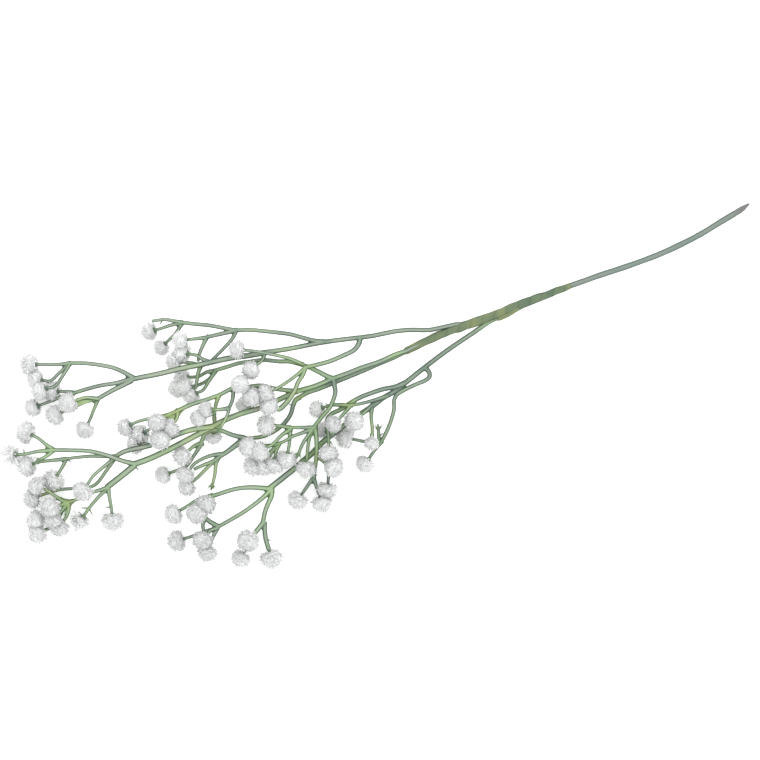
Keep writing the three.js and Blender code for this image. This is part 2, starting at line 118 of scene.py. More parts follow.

# %% [markdown]
# ## Where everything runs
#
# Twigs of a moulded spray have no rule that a formula could catch, so their courses are points given one
# by one: [x, y, height]. The tape follows the stem, and so does the bare wire inside it.

# %% Courses of the stem and the tape
STEM_LINE = [
    [200.3, 84, 2], [190.3, 77.9, 2], [180.3, 71.9, 2.4], [167, 63.8, 3.6], [152.8, 56.5, 5.4],
    [139.8, 50.6, 7.4], [127, 45.7, 9.2], [113, 40.8, 11], [99.8, 36.5, 13], [86.7, 31.8, 15],
    [79.7, 29.4, 16.2],
]
TAPE_LINE = [
    [84.5, 31, 15.4], [69, 25.3, 18], [53, 19.2, 20.5], [39, 13.5, 22.5], [20, 6.7, 25], [7, 2, 26.5],
    [-10, -4.7, 28], [-24, -11.4, 28.8], [-32, -15.6, 29],
]
WIRE_LINE = [[82, 30.2, 15.8], *TAPE_LINE[1:-1]]
print("points on the stem and the tape:", len(STEM_LINE), len(TAPE_LINE))

# %% [markdown]
# A spray has a root beside the wire, under the tape. A rod is the strong lower part of the spray,
# limbs fork from rods, and twigs fork from limbs. The last point of a flower's path is the middle
# of its head. Heads that stand so close that their petals mesh share one name.
#
# The upper spray leaves the tape first and fans out along the top.

# %% The upper spray
UPPER_SPRAY = {
    "name": "upper_spray",
    "root": {
        "side": "left",
        "beside": [[39, 13.5, 22.5], [20, 6.7, 25], [9, 2.7, 26.3]],
        "exit": [3, 3.6, 27.4],
    },
    "rods": [
        [[4, 3.8, 27.2], [-4, 2, 28.5], [-14, 0, 30], [-27, 0, 32], [-37, -1, 34], [-52, -4, 36],
         [-60, -5, 37], [-83, -8, 38], [-110, -13, 38], [-124, -15, 37]],
        [[-123, -15, 37], [-134, -17, 36], [-148, -19, 34], [-167, -23.2, 31], [-180, -25.8, 29],
         [-193, -29, 27], [-207, -31.8, 24], [-212, -32.8, 23]],
    ],
    "limbs": [
        [[-82, -8, 38], [-91, -7, 38], [-106, -3, 38], [-113, -2, 37], [-133, 0, 34], [-143, 0, 32],
         [-160, 3, 27], [-170, 4, 24], [-179, 5, 20]],
        [[-60, -5, 37], [-60.6, -8.8, 37.4], [-64, -13.4, 38.4], [-71, -17, 39.8], [-80, -20.8, 41.3],
         [-89, -23.3, 42], [-97, -25, 42]],
        [[-211, -32, 23], [-218.5, -27.6, 23], [-224.5, -25.2, 23], [-233, -23.4, 22], [-243, -22.2, 20],
         [-254, -22, 17]],
        [[-211, -32, 23], [-221, -35, 22], [-233, -37, 20], [-241, -39, 18], [-251, -42, 16]],
        [[-212, -33.5, 23], [-218.5, -37, 23], [-224.5, -40, 22.5], [-233, -44.8, 21.5], [-235, -46, 21]],
    ],
    "twigs": [
        [[-178, 5, 20], [-184, 6, 18], [-190, 7, 16], [-199, 6, 13]],
        [[-142, 0, 32], [-150, -2, 31], [-163, -5, 28]],
        [[-142, 0, 32], [-145.2, -6, 30.5], [-150, -11.5, 29], [-156, -17.5, 27], [-160.5, -21.5, 25.5],
         [-167, -24, 23]],
        [[-162, -5, 28], [-164.5, -10, 27], [-167, -16, 25], [-168, -21, 23.3]],
    ],
}
print("limbs and twigs:", len(UPPER_SPRAY["limbs"]), len(UPPER_SPRAY["twigs"]))

# %% Flowers of the upper spray
UPPER_SPRAY["flowers"] = {
    "flower_01": [[[-253, -22, 17], [-262, -23, 14], [-271, -23, 11], [-281, -23, 8]]],
    "flower_cluster_02": [
        [[-253, -22, 17], [-260, -28, 14], [-267, -34, 11], [-277, -33, 9]],
        [[-253, -22, 17], [-258, -30, 16], [-263, -37, 14], [-274, -41, 13]],
        [[-250, -42, 16], [-255, -41, 12], [-266, -41, 8]],
    ],
    "flower_03": [[[-250, -42, 16], [-258, -44, 13], [-268, -48, 9], [-279, -52, 5.9]]],
    "flower_04": [[[-234, -46, 21], [-243, -45, 22], [-255, -49, 26]]],
    "flower_05": [[[-234, -46, 21], [-243, -48, 16], [-252, -52, 12], [-264, -57, 11]]],
    "flower_06": [[[-234, -45, 21], [-238, -54, 13], [-240, -59, 8], [-244, -67, 9]]],
    "flower_07": [[[-123, -15, 37], [-125, -20, 37], [-133, -27, 43]]],
    "flower_08": [[[-178, 5, 20], [-187, 3, 15], [-193, 1, 11], [-201, -1, 8]]],
    "flower_09": [[[-178, 5, 20], [-183, -2, 15], [-188, -7, 10], [-193, -12, 9]]],
    "flower_cluster_10": [
        [[-162, -5, 28], [-171, -6, 25], [-180, -7, 25]],
        [[-160, -21.4, 31.8], [-165, -19.3, 29], [-169, -16.8, 26], [-179, -15, 22]],
        [[-166, -24, 23], [-172, -22, 19], [-184, -21, 18]],
    ],
    "flower_cluster_11": [
        [[-166, -24, 23], [-168, -29, 21], [-168.8, -34, 18.5], [-169.8, -38.6, 16.5], [-177, -38, 16]],
    ],
    "flower_cluster_13": [
        [[-96, -25, 42], [-102, -30, 41], [-112, -37, 40], [-123, -43, 43]],
        [[-96, -25, 42], [-98, -30, 41], [-101, -34.5, 40.5], [-103.4, -40.5, 39.5], [-108, -47.3, 38.3],
         [-113.8, -52.6, 37.6], [-121, -50, 43]],
    ],
}
print("heads:", sum(len(paths) for paths in UPPER_SPRAY["flowers"].values()))

# %% [markdown]
# The long spray carries on in line with the stem, and half of all heads grow on it.

# %% The long spray
LONG_SPRAY = {
    "name": "long_spray",
    "root": {
        "side": "above",
        "beside": [[-6, -3.1, 27.7], [-24, -11.4, 28.8]],
        "exit": [-30, -14.3, 30.9],
    },
    "rods": [
        [[-29, -13.9, 30.9], [-36, -16.2, 31.2], [-46.9, -21.1, 32], [-59.9, -25.5, 32.6],
         [-67, -28.4, 33], [-78, -32.4, 33], [-90, -37.4, 33], [-102, -41, 33], [-111, -45, 33],
         [-125, -51.5, 32], [-140, -56, 31], [-152, -61, 30], [-159, -64.8, 30], [-167, -69, 29],
         [-181, -76.4, 27], [-190, -81, 26], [-201, -86, 24], [-211, -89.6, 22]],
        [[-210, -90, 22], [-219.7, -97.8, 18], [-229, -105, 15]],
    ],
    "limbs": [
        [[-101, -41, 33], [-110, -40, 34], [-117, -39, 36], [-125, -37, 37], [-136, -38, 37],
         [-145, -39, 36], [-153, -43, 35], [-161, -46, 34], [-173, -50, 32], [-184, -55, 30],
         [-190, -57, 28]],
        [[-158, -64.6, 30], [-170, -66, 32], [-180, -69, 31], [-189, -73, 29], [-200, -77, 26],
         [-217, -81, 22], [-224, -85, 20]],
        [[-210, -89.4, 22], [-219, -87, 24], [-227, -84, 25], [-240, -80.8, 23], [-253, -80.2, 20],
         [-265, -80, 17]],
        [[-78, -32.6, 33], [-82, -30.8, 33.5], [-88, -27.6, 35.2], [-94, -24.8, 37], [-99, -23, 38]],
        [[-77.5, -33.5, 33], [-77, -37, 32], [-76.4, -41, 31], [-77.6, -46, 29.5], [-80.2, -51.8, 28],
         [-85, -57.5, 26], [-91, -65, 24]],
        [[-90, -64, 24], [-89, -73, 22], [-89, -83, 20], [-90, -92, 16], [-91, -99, 13]],
    ],
    "twigs": [
        [[-154, -44, 35], [-156, -50, 32], [-157, -58, 27]],
        [[-144, -39, 36], [-145, -47, 37], [-147, -52, 38], [-148, -56, 37], [-151, -62, 36],
         [-154, -66, 35]],
        [[-181, -53, 30], [-193, -62, 25]],
        [[-223, -84.3, 20], [-232, -84.2, 18.5], [-240.5, -84.2, 17], [-249, -85, 15.5], [-257, -86, 14]],
        [[-228, -105, 15], [-233, -106.6, 15.7], [-238.5, -108.2, 15.7], [-244, -110.5, 14.6],
         [-249, -113, 13], [-256, -115.5, 12]],
        [[-264, -80, 17], [-269, -84, 15], [-275.5, -87.3, 14]],
        [[-98, -23, 38], [-107, -21, 36], [-113, -21, 34], [-125, -20, 30], [-133, -21, 28],
         [-140, -22, 27], [-150, -25, 26], [-157, -27, 25]],
        [[-90, -65, 24], [-100, -65, 24], [-107, -65, 23]],
        [[-91, -65, 24], [-94, -69.5, 23], [-98, -75.5, 21], [-101.7, -84, 18]],
        [[-90, -65, 24], [-97, -68, 23], [-105, -71, 22], [-110, -74, 21], [-115, -76, 20]],
        [[-89, -84, 19], [-84, -88, 16], [-81, -93, 13]],
    ],
}
print("limbs and twigs:", len(LONG_SPRAY["limbs"]), len(LONG_SPRAY["twigs"]))

# %% Flowers of the long spray
LONG_SPRAY["flowers"] = {
    "flower_cluster_11": [
        [[-156, -27, 25], [-162, -28, 20], [-168, -31, 12], [-179, -32, 9]],
        [[-156, -27, 25], [-161, -33, 16], [-169, -37, 7], [-183, -39, 8]],
        [[-156, -27, 25], [-161, -34.5, 20], [-165, -40.3, 17], [-173, -44, 15]],
    ],
    "flower_12": [[[-98, -23, 38], [-107, -19, 42], [-120, -16, 44], [-131, -14, 43], [-142, -13, 43]]],
    "flower_cluster_13": [[[-124, -37, 37], [-128, -40, 38], [-132, -45, 43]]],
    "flower_14": [[[-133, -38, 37], [-136, -38, 40], [-140, -36, 47]]],
    "flower_15": [[[-136, -54, 31], [-131, -50, 25], [-130, -49, 17], [-138, -50, 17]]],
    "flower_cluster_16": [
        [[-147, -52, 38], [-153, -53, 37], [-163, -53, 37]],
        [[-156, -55, 29], [-161, -57, 30], [-168, -59, 35]],
    ],
    "flower_17": [[[-157, -58, 27], [-157, -63, 22], [-158, -71, 14]]],
    "flower_cluster_18": [
        [[-181, -53, 30], [-182, -59, 31], [-187, -66, 36]],
        [[-188, -57, 29], [-191, -58, 31], [-195, -62.5, 38]],
        [[-187, -72.5, 29], [-191, -75, 30], [-193, -72.5, 38]],
    ],
    "flower_cluster_19": [
        [[-192, -61, 25], [-200, -66, 21], [-207, -70, 16]],
        [[-199, -77, 26], [-203, -76, 21], [-210, -76, 15]],
    ],
    "flower_20": [[[-189, -57, 28], [-200, -59, 25], [-208, -61, 20], [-217, -65, 17]]],
    "flower_21": [[[-264, -80, 17], [-270, -76, 14], [-275, -72, 11], [-283.6, -68, 8]]],
    "flower_22": [[[-264, -80, 17], [-275, -81, 14], [-285, -83, 11], [-294, -83, 8]]],
    "flower_23": [[[-256, -86, 14], [-266, -87, 11], [-274, -88, 9], [-283, -91, 7]]],
    "flower_24": [[[-256, -86, 14], [-259, -92, 10], [-265, -101, 6]]],
    "flower_25": [[[-223, -85, 20], [-230, -90.5, 21.5], [-238, -97.5, 22.5], [-245, -108, 25]]],
    "flower_cluster_26": [
        [[-223, -85, 20], [-229, -93.5, 15], [-236.5, -103, 10.5], [-242, -105.2, 8.5],
         [-249, -105.6, 8], [-262, -106.8, 7], [-269, -109, 7.3], [-279.5, -112.5, 9]],
        [[-251, -114, 12], [-257, -114.5, 12], [-263, -111, 12.5], [-268.5, -107.2, 13],
         [-276, -104, 13.5]],
    ],
    "flower_cluster_27": [
        [[-255, -115.3, 12], [-259, -116.5, 13], [-267, -119, 19]],
        [[-255, -115.3, 12], [-258.5, -120, 12.5], [-265, -127, 15]],
        [[-254.5, -116, 12], [-254.5, -120, 11.5], [-256, -124.5, 10.5], [-261, -132, 11]],
    ],
    "flower_cluster_28": [
        [[-255, -115.5, 12], [-260, -122, 7], [-268, -127, 4.5], [-277, -127, 8]],
        [[-259.5, -121.5, 7.3], [-265, -131, 3.5], [-276, -136, 7]],
    ],
    "flower_29": [[[-228, -105, 15], [-235, -112, 13], [-241, -119, 10], [-247, -128, 8]]],
    "flower_30": [[[-228, -105, 15], [-227, -113, 11], [-226, -119, 7], [-225, -128, 6.1]]],
    "flower_31": [[[-106, -65, 23], [-113, -64, 23], [-123, -63, 26]]],
    "flower_cluster_32": [
        [[-106, -66, 23], [-112, -70, 23], [-118, -76, 24], [-127, -81, 26]],
        [[-114, -76, 20], [-121, -77, 19], [-127, -77, 19], [-135, -78, 24]],
    ],
    "flower_cluster_33": [
        [[-114, -76, 20], [-122, -83, 14], [-132, -91, 12]],
        [[-114, -76, 20], [-119, -82, 15], [-125, -91, 12]],
        [[-114, -76, 20], [-116, -81, 17], [-117, -90, 14]],
        [[-106, -65, 23], [-106.8, -71, 21], [-107.3, -77, 19], [-109, -86.5, 16.5]],
    ],
    "flower_34": [[[-91, -65, 24], [-94, -73, 21], [-95, -81, 18], [-96, -93, 18]]],
    "flower_cluster_35": [
        [[-81, -92, 13], [-81, -98, 10], [-82, -107.5, 9]],
        [[-91, -98, 13], [-89, -105, 9], [-85, -116, 8]],
    ],
    "flower_36": [[[-91, -98, 13], [-95, -104, 9], [-102, -114, 8]]],
    "flower_cluster_37": [[[-83, -89, 16], [-81, -89, 20], [-77, -92, 25]]],
}
print("heads:", sum(len(paths) for paths in LONG_SPRAY["flowers"].values()))

# %% [markdown]
# The curved spray is the smallest. Its rod presses against the long spray's rod and then curves
# away below it.

# %% The curved spray
CURVED_SPRAY = {
    "name": "curved_spray",
    "root": {
        "side": "below",
        "beside": [[-6, -3.1, 27.7], [-24, -11.4, 28.8]],
        "exit": [-30, -14.3, 27.1],
    },
    "rods": [
        [[-29, -13.9, 27.1], [-36.1, -17.7, 27], [-47.2, -22.4, 26.7], [-60.2, -28.1, 25.6],
         [-73.2, -33.4, 24], [-86.7, -38.9, 22.5], [-95, -41.8, 21.8], [-101, -45.2, 21]],
    ],
    "limbs": [
        [[-100, -44.8, 21], [-103, -46.8, 20.5], [-104.6, -50.5, 20], [-106, -55.5, 19.5],
         [-109, -60.5, 19], [-113, -64.5, 18], [-118, -68, 17], [-125, -71, 17], [-132, -72, 17],
         [-138, -72, 18]],
        [[-137, -72, 18], [-145, -70, 20], [-153, -67, 22], [-159, -67, 22.5], [-163, -69, 21],
         [-166, -75, 18]],
        [[-137, -72.5, 18], [-143, -77, 17], [-149.5, -81.8, 15], [-155, -85.2, 14]],
    ],
    "twigs": [
        [[-154, -84.5, 14], [-156, -89, 12], [-157, -97, 10], [-159, -105, 9]],
        [[-154.5, -85, 14], [-158, -87.5, 13], [-164.3, -90, 12.5], [-171, -93, 13]],
    ],
}
print("limbs and twigs:", len(CURVED_SPRAY["limbs"]), len(CURVED_SPRAY["twigs"]))

# %% Flowers of the curved spray
CURVED_SPRAY["flowers"] = {
    "flower_38": [[[-165, -75, 18], [-170, -77, 17], [-179, -84, 21]]],
    "flower_39": [[[-165, -75, 18], [-171, -84, 13], [-176, -91, 9], [-183, -94, 6], [-192, -97, 6.1]]],
    "flower_cluster_40": [
        [[-152, -82.8, 14.5], [-157, -83.2, 15], [-163.5, -85.2, 15], [-170.5, -89.2, 15],
         [-177, -97, 18]],
        [[-154, -84.8, 14], [-159, -89, 12], [-168, -98, 9], [-176, -105, 11]],
    ],
}
print("heads:", sum(len(paths) for paths in CURVED_SPRAY["flowers"].values()))

# %% [markdown]
# The low spray leaves the tape last, through a collar of its own, and spreads along the bottom.

# %% The low spray
LOW_SPRAY = {
    "name": "low_spray",
    "root": {
        "side": "right",
        "beside": [[69, 25, 18], [53, 19, 20.5], [41, 14.3, 22.2]],
        "exit": [34.5, 9, 22.7],
    },
    "rods": [
        [[35.5, 9.5, 22.6], [27, 6, 23], [16, -1.5, 23], [-1, -13, 22.5], [-17, -25, 22], [-27, -33, 21],
         [-38, -41.5, 20], [-44.5, -45.2, 19], [-51, -50.2, 18], [-67, -61, 15], [-85, -75, 13],
         [-92, -82.3, 12.3], [-99, -88.2, 12], [-104.5, -93, 12], [-110.5, -97.8, 12],
         [-120, -105.3, 12]],
    ],
    "limbs": [
        [[-30, -35.3, 21], [-36.5, -37.9, 21.8], [-44.5, -39.4, 22.3], [-53, -42.2, 23], [-60, -45, 23],
         [-66.5, -48.6, 22.3], [-73, -53, 21], [-79, -56, 20], [-82, -60, 19], [-81.7, -67, 18]],
        [[-17, -25, 22], [-14, -28, 22], [-13.6, -31, 22], [-16, -33.3, 22], [-24, -36.8, 21],
         [-31, -40.3, 20], [-35.5, -43.3, 19], [-37.3, -47, 17.5], [-37.2, -52, 16], [-38.9, -59.2, 14],
         [-42.3, -68, 11], [-46, -75, 8]],
        [[-119, -106, 12], [-133, -105, 13], [-143, -106, 14], [-153, -109, 14], [-159, -111, 13]],
        [[-119, -106, 12], [-125, -112, 12], [-137, -121, 13], [-147, -127, 12], [-156, -132, 10]],
        [[-119, -105, 12], [-119, -110, 12], [-123, -120, 10], [-125, -129, 8]],
    ],
    "twigs": [
        [[-42, -44, 20], [-55, -48, 22], [-65, -50, 23.5], [-71, -50, 23.5]],
        [[-52, -51, 18], [-52.5, -58, 16], [-51.8, -66, 13], [-52, -72, 10]],
        [[-47.5, -77, 7.2], [-47.4, -71, 8.5], [-47.9, -64.5, 10]],
        [[-163.4, -125.8, 12.6], [-164.8, -129.5, 13], [-164.4, -134, 13.5]],
    ],
}
print("limbs and twigs:", len(LOW_SPRAY["limbs"]), len(LOW_SPRAY["twigs"]))

# %% Flowers of the low spray
LOW_SPRAY["flowers"] = {
    "flower_cluster_37": [[[-81.7, -66, 18], [-81, -72, 20], [-81, -83, 25]]],
    "flower_41": [[[-70, -50, 23.5], [-79, -50, 22.5], [-89, -53, 19]]],
    "flower_42": [[[-66, -50, 23.5], [-71, -56, 25], [-78, -63, 31]]],
    "flower_43": [[[-51, -49, 18], [-57, -55, 20], [-64, -61, 26]]],
    "flower_44": [[[-51, -71, 10], [-56.5, -74.3, 8.5], [-61, -73.6, 8.5], [-70, -71.8, 9]]],
    "flower_45": [[[-45, -74, 8], [-50, -80, 6], [-57, -90, 6]]],
    "flower_cluster_46": [
        [[-158, -111, 13], [-161, -112, 14], [-163, -117, 20]],
        [[-155, -131, 10], [-160, -128, 11], [-164, -125, 13], [-169, -122, 20]],
    ],
    "flower_47": [[[-158, -110, 13], [-168, -113, 9], [-176, -118, 6], [-185, -123, 6.1]]],
    "flower_48": [[[-155, -132, 10], [-162, -134, 8], [-173, -138, 6], [-183, -141, 6.1]]],
    "flower_cluster_49": [
        [[-155, -132, 10], [-160, -134, 14], [-165, -141, 19]],
        [[-155, -132, 10], [-158, -138, 11], [-162, -149, 14]],
    ],
    "flower_50": [[[-124, -128, 8], [-129, -134, 11], [-135, -141, 17]]],
    "flower_51": [[[-124, -128, 8], [-130, -136, 6], [-135, -144, 5], [-140, -153, 7]]],
    "flower_52": [[[-124, -128, 8], [-123, -139, 6], [-119, -153, 7]]],
    "flower_53": [[[-52, -70, 11], [-52, -71, 14], [-52.5, -76, 20]]],
    "flower_54": [[[-81.7, -66, 18], [-80, -68.5, 15], [-78.5, -68.2, 11.5], [-86.5, -66.5, 9.5]]],
}
print("heads:", sum(len(paths) for paths in LOW_SPRAY["flowers"].values()))

# %% [markdown]
# The four sprays together hold all the heads.

# %% All sprays
SPRAYS = [UPPER_SPRAY, LONG_SPRAY, CURVED_SPRAY, LOW_SPRAY]
print("heads:", sum(len(paths) for spray in SPRAYS for paths in spray["flowers"].values()))

# %% [markdown]
# Some twigs lost their head, or never had one, and show their bare calyx. Here are the ends of
# those twigs.

# %% Twig ends without a head
BARE_ENDS = {
    "upper_spray": [],
    "long_spray": [[-275.5, -87.3, 14], [-101.7, -84, 18], [-154, -66, 35]],
    "curved_spray": [[-159, -105, 9]],
    "low_spray": [[-47.9, -64.5, 10]],
}
print("bare calyxes:", sum(len(ends) for ends in BARE_ENDS.values()))

# %% [markdown]
# ## Making lines smooth
#
# Moulded twigs bend softly. A curve that passes through all the given points, a Catmull-Rom
# spline, keeps them where they were placed. Its centripetal form never loops at a sharp corner.

# %% Smooth lines
def smooth_line(points, spacing):
    """Points about `spacing` apart on a smooth curve through the given ones."""
    p = np.asarray(points, float)
    p = np.vstack([2 * p[0] - p[1], p, 2 * p[-1] - p[-2]])
    knot = np.sqrt(np.linalg.norm(np.diff(p, axis=0), axis=1))
    line = []
    for i in range(1, len(p) - 2):
        before, here, after = knot[i - 1 : i + 2]
        step = p[i + 1] - p[i]
        leave = (p[i] - p[i - 1]) / before - (p[i + 1] - p[i - 1]) / (before + here) + step / here
        arrive = step / here - (p[i + 2] - p[i]) / (here + after) + (p[i + 2] - p[i + 1]) / after
        count = max(2, math.ceil(np.linalg.norm(step) / spacing))
        t = np.linspace(0, 1, count, endpoint=False)[:, None]
        line.append(
            (2 * t**3 - 3 * t**2 + 1) * p[i]
            + (t**3 - 2 * t**2 + t) * leave * here
            + (3 * t**2 - 2 * t**3) * p[i + 1]
            + (t**3 - t**2) * arrive * here
        )
    line.append(p[-2:-1])
    return np.vstack(line)


print("points along the stem, 1 mm apart:", len(smooth_line(STEM_LINE, 1.0)))

# %% [markdown]
# Three small helpers serve everywhere: vectors of length one, the ways across a line, and the
# distance along it. Two more shape how things swell and fade: a soft step from 0 to 1, and a bell
# that is 1 in its middle.

# %% Small helpers
def unit(vectors):
    return vectors / np.linalg.norm(vectors, axis=-1, keepdims=True)


def across(line):
    """Unit vectors along a line, sideways from it, and upwards from it."""
    along = unit(np.gradient(line, axis=0))
    side = unit(np.cross(along, [0.0, 0.0, 1.0]) + np.array([1e-6, 0, 0]))
    return along, side, np.cross(side, along)


def lengths(line):
    """Distance from the start of a line to each of its points."""
    return np.concatenate([[0], np.cumsum(np.linalg.norm(np.diff(line, axis=0), axis=1))])


def soft_step(value, low, high):
    t = np.clip((value - low) / (high - low), 0, 1)
    return t * t * (3 - 2 * t)


def bell(distance, reach, steepness=1):
    return np.exp(-((distance / reach) ** 2) * steepness)


print("length of the stem in mm:", round(lengths(smooth_line(STEM_LINE, 1.0))[-1]))

# %% [markdown]
# ## Solids as lists of vertices and faces
#
# Each little solid is a pair: an array of vertices in drawing millimetres, and a list of faces.
# A tube is made ring by ring, with the radius free to change along it and around it, and a fan of
# triangles closes each end.

# %% Rings and tubes
def full_turn(count):
    """`count` angles evenly round a circle."""
    return np.arange(count) * 2 * math.pi / count


def ring_faces(rings, sides):
    """Faces over rings of vertices, closed by fans round the two vertices that follow them."""
    faces = []
    for ring in range(rings - 1):
        for i in range(sides):
            a, b = ring * sides + i, ring * sides + (i + 1) % sides
            faces.append((a, b, b + sides, a + sides))
    first, last, end = rings * sides, rings * sides + 1, (rings - 1) * sides
    for i in range(sides):
        j = (i + 1) % sides
        faces += [(first, j, i), (last, end + i, end + j)]
    return faces


def tube(line, radius, sides):
    """A closed tube. `radius` has one row for each ring, and one or `sides` columns."""
    _, side, up = across(line)
    turn = full_turn(sides)
    out = side[:, None] * np.sin(turn)[:, None] + up[:, None] * np.cos(turn)[:, None]
    radius = np.asarray(radius, float).reshape(len(line), -1, 1)
    rings = line[:, None] + out * radius
    return np.vstack([rings.reshape(-1, 3), line[:1], line[-1:]]), ring_faces(len(line), sides)


def gather(solids):
    """Several solids as one list of vertices and one list of faces."""
    vertices, faces, start = [], [], 0
    for points, polygons in solids:
        vertices.append(points)
        faces += [tuple(start + i for i in polygon) for polygon in polygons]
        start += len(points)
    return np.vstack(vertices), faces


print("faces of a tube with 3 rings of 4:", len(ring_faces(3, 4)))

# %% [markdown]
# Petals, sepals and the little spikes at the forks are all thin pointed blades. Each follows an
# arc from its base to its tip, has four corners across, and a slight gutter along its middle.
# Numpy makes all the blades of a head at once, which is far quicker than a loop over them.

# %% Thin pointed blades
BLADE_AT = np.array([0.0, 0.45, 0.8, 0.94])
BLADE_CORNERS = 4 * len(BLADE_AT) + 1


def arc(base, bend, tip, t):
    return (1 - t) ** 2 * base + 2 * t * (1 - t) * bend + t**2 * tip


def blades(base, bend, tip, sideways, half_width, profile, thickness, gutter=0.25):
    """Solids for blades, one for each row of `base`, `bend`, `tip` and `sideways`."""
    count = len(base)
    half_width = np.broadcast_to(half_width, (count,))[:, None]
    rows = []
    for t, share in zip(BLADE_AT, profile, strict=True):
        middle = arc(base, bend, tip, t)
        along = unit(2 * (1 - t) * (bend - base) + 2 * t * (tip - bend))
        wide = unit(sideways - along * np.sum(along * sideways, axis=1, keepdims=True))
        thick = np.cross(along, wide)
        reach = wide * half_width * share
        dip = thick * half_width * share * gutter
        flat = thick * thickness / 2
        rows += [middle - reach, middle - dip + flat, middle + reach, middle - dip - flat]
    rows.append(tip)
    every = [
        tuple(number * BLADE_CORNERS + i for i in face)
        for number in range(count)
        for face in BLADE_FACES
    ]
    return np.stack(rows, axis=1).reshape(-1, 3), every


def blade_faces():
    faces = [(3, 2, 1, 0)]
    for row in range(len(BLADE_AT) - 1):
        for i in range(4):
            a, b = 4 * row + i, 4 * row + (i + 1) % 4
            faces.append((a, b, b + 4, a + 4))
    end, top = BLADE_CORNERS - 5, BLADE_CORNERS - 1
    return faces + [(end + i, end + (i + 1) % 4, top) for i in range(4)]


BLADE_FACES = blade_faces()
print("corners and faces of a blade:", BLADE_CORNERS, len(BLADE_FACES))

# %% [markdown]
# ## Putting a piece into the scene
#
# A finished piece is one mesh. It rides on the stem's only body, hides the plain solid that it stands for,
# and takes its finish. Numbers that colour it, such as how fresh the green is at each point, travel with
# the mesh as attributes that the material reads.

# %% New pieces
triangles = {}


def new_piece(name, vertices, faces, material, nodes, shades):
    mesh = bpy.data.meshes.new(name)
    mesh.from_pydata(in_part(vertices).tolist(), [], faces)
    mesh.polygons.foreach_set("use_smooth", np.ones(len(mesh.polygons), bool))
    for shade, values in shades.items():
        attribute = mesh.attributes.new(shade, "FLOAT", "POINT")
        attribute.data.foreach_set("value", np.asarray(values, np.float32))
    mesh.materials.append(material)
    piece = bpy.data.objects.new(name, mesh)
    bpy.context.scene.collection.objects.link(piece)
    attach(piece, "root")
    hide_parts(*nodes)
    mesh.calc_loop_triangles()
    triangles[name] = len(mesh.loop_triangles)


print("pieces so far:", len(triangles))

# %% [markdown]
# ## Finishes
#
# Every finish is built from nodes. A small class keeps that short: it adds a node, sets its
# inputs, and joins another node's output wherever one is given instead of a number.

# %% A short way to build node materials
class Finish:
    def __init__(self, name):
        self.material = bpy.data.materials.new(name)
        self.material.use_nodes = True
        self.tree = self.material.node_tree
        self.surface = self.tree.nodes["Principled BSDF"]

    def put(self, node, key, value):
        socket = node.inputs[key]
        if isinstance(value, bpy.types.NodeSocket):
            self.tree.links.new(value, socket)
        else:
            socket.default_value = value

    def add(self, kind, output=0, **inputs):
        node = self.tree.nodes.new("ShaderNode" + kind)
        for key, value in inputs.items():
            self.put(node, key.replace("_", " "), value)
        return node.outputs[output]

    def set(self, **inputs):
        """Sets inputs of the shader itself."""
        for key, value in inputs.items():
            self.put(self.surface, key.replace("_", " "), value)

    def shade(self, name):
        """A shade that travels with the mesh."""
        node = self.tree.nodes.new("ShaderNodeAttribute")
        node.attribute_name = name
        return node.outputs["Fac"]

    def math(self, operation, first, second, clamp=True):
        node = self.tree.nodes.new("ShaderNodeMath")
        node.operation = operation
        node.use_clamp = clamp
        self.put(node, 0, first)
        self.put(node, 1, second)
        return node.outputs[0]

    def mix(self, factor, first, second):
        node = self.tree.nodes.new("ShaderNodeMix")
        node.data_type = "RGBA"
        for socket, value in ((0, factor), (6, first), (7, second)):
            self.put(node, socket, value)
        return node.outputs[2]

    def ramp(self, value, steps):
        """A ramp of colours, given as (position, colour) from position 0 to position 1."""
        node = self.tree.nodes.new("ShaderNodeValToRGB")
        elements = node.color_ramp.elements
        elements[0].color, elements[1].color = steps[0][1], steps[-1][1]
        for position, colour in steps[1:-1]:
            elements.new(position).color = colour
        self.put(node, 0, value)
        return node.outputs[0]

    def noise(self, scale, detail=3.0, roughness=0.5):
        """Noise fixed to the object, with about `scale` lumps in a metre."""
        place = self.add("TexCoord", 3)
        return self.add("TexNoise", Vector=place, Scale=scale, Detail=detail, Roughness=roughness)

    def spread(self, value, low, high, to_low=0.0, to_high=1.0):
        """Moves a value from one range into another."""
        ranges = {"From_Min": low, "From_Max": high, "To_Min": to_low, "To_Max": to_high}
        return self.add("MapRange", Value=value, **ranges)

    def bump(self, height, distance):
        self.set(Normal=self.add("Bump", Height=height, Distance=distance, Strength=1.0))


print("helpers of a finish:", [name for name in vars(Finish) if not name.startswith("_")])

# %% [markdown]
# The sprays are moulded from one green plastic and then rubbed with a darker, bluer wash. The wash wears
# off first at the forks, so they look fresh, and dust dulls the flat faces of the twigs to a brownish
# grey. A pale line is painted along the flat faces of each twig as a painted highlight, and its sides are
# painted darker as painted shade.

# %% Moulded green
WASH = (0.058, 0.104, 0.085, 1)
GREY_GREEN = (0.115, 0.181, 0.128, 1)
FRESH_GREEN = (0.165, 0.310, 0.088, 1)
YELLOW_GREEN = (0.270, 0.345, 0.115, 1)
GREENS = [(0.0, WASH), (0.38, GREY_GREEN), (0.80, FRESH_GREEN), (1.0, YELLOW_GREEN)]
# The dark edge is painted shade along the sides of the twigs, and the two streak colours are a painted
# highlight along their flat faces.
PAINTED_EDGE_SHADE = (0.020, 0.040, 0.025, 1)
DUSTY = (0.325, 0.327, 0.276, 1)
PAINTED_HIGHLIGHT = (0.362, 0.448, 0.332, 1)
FRESH_PAINTED_HIGHLIGHT = (0.338, 0.468, 0.212, 1)
GREEN_SPECK = (0.38, 0.42, 0.32, 1)


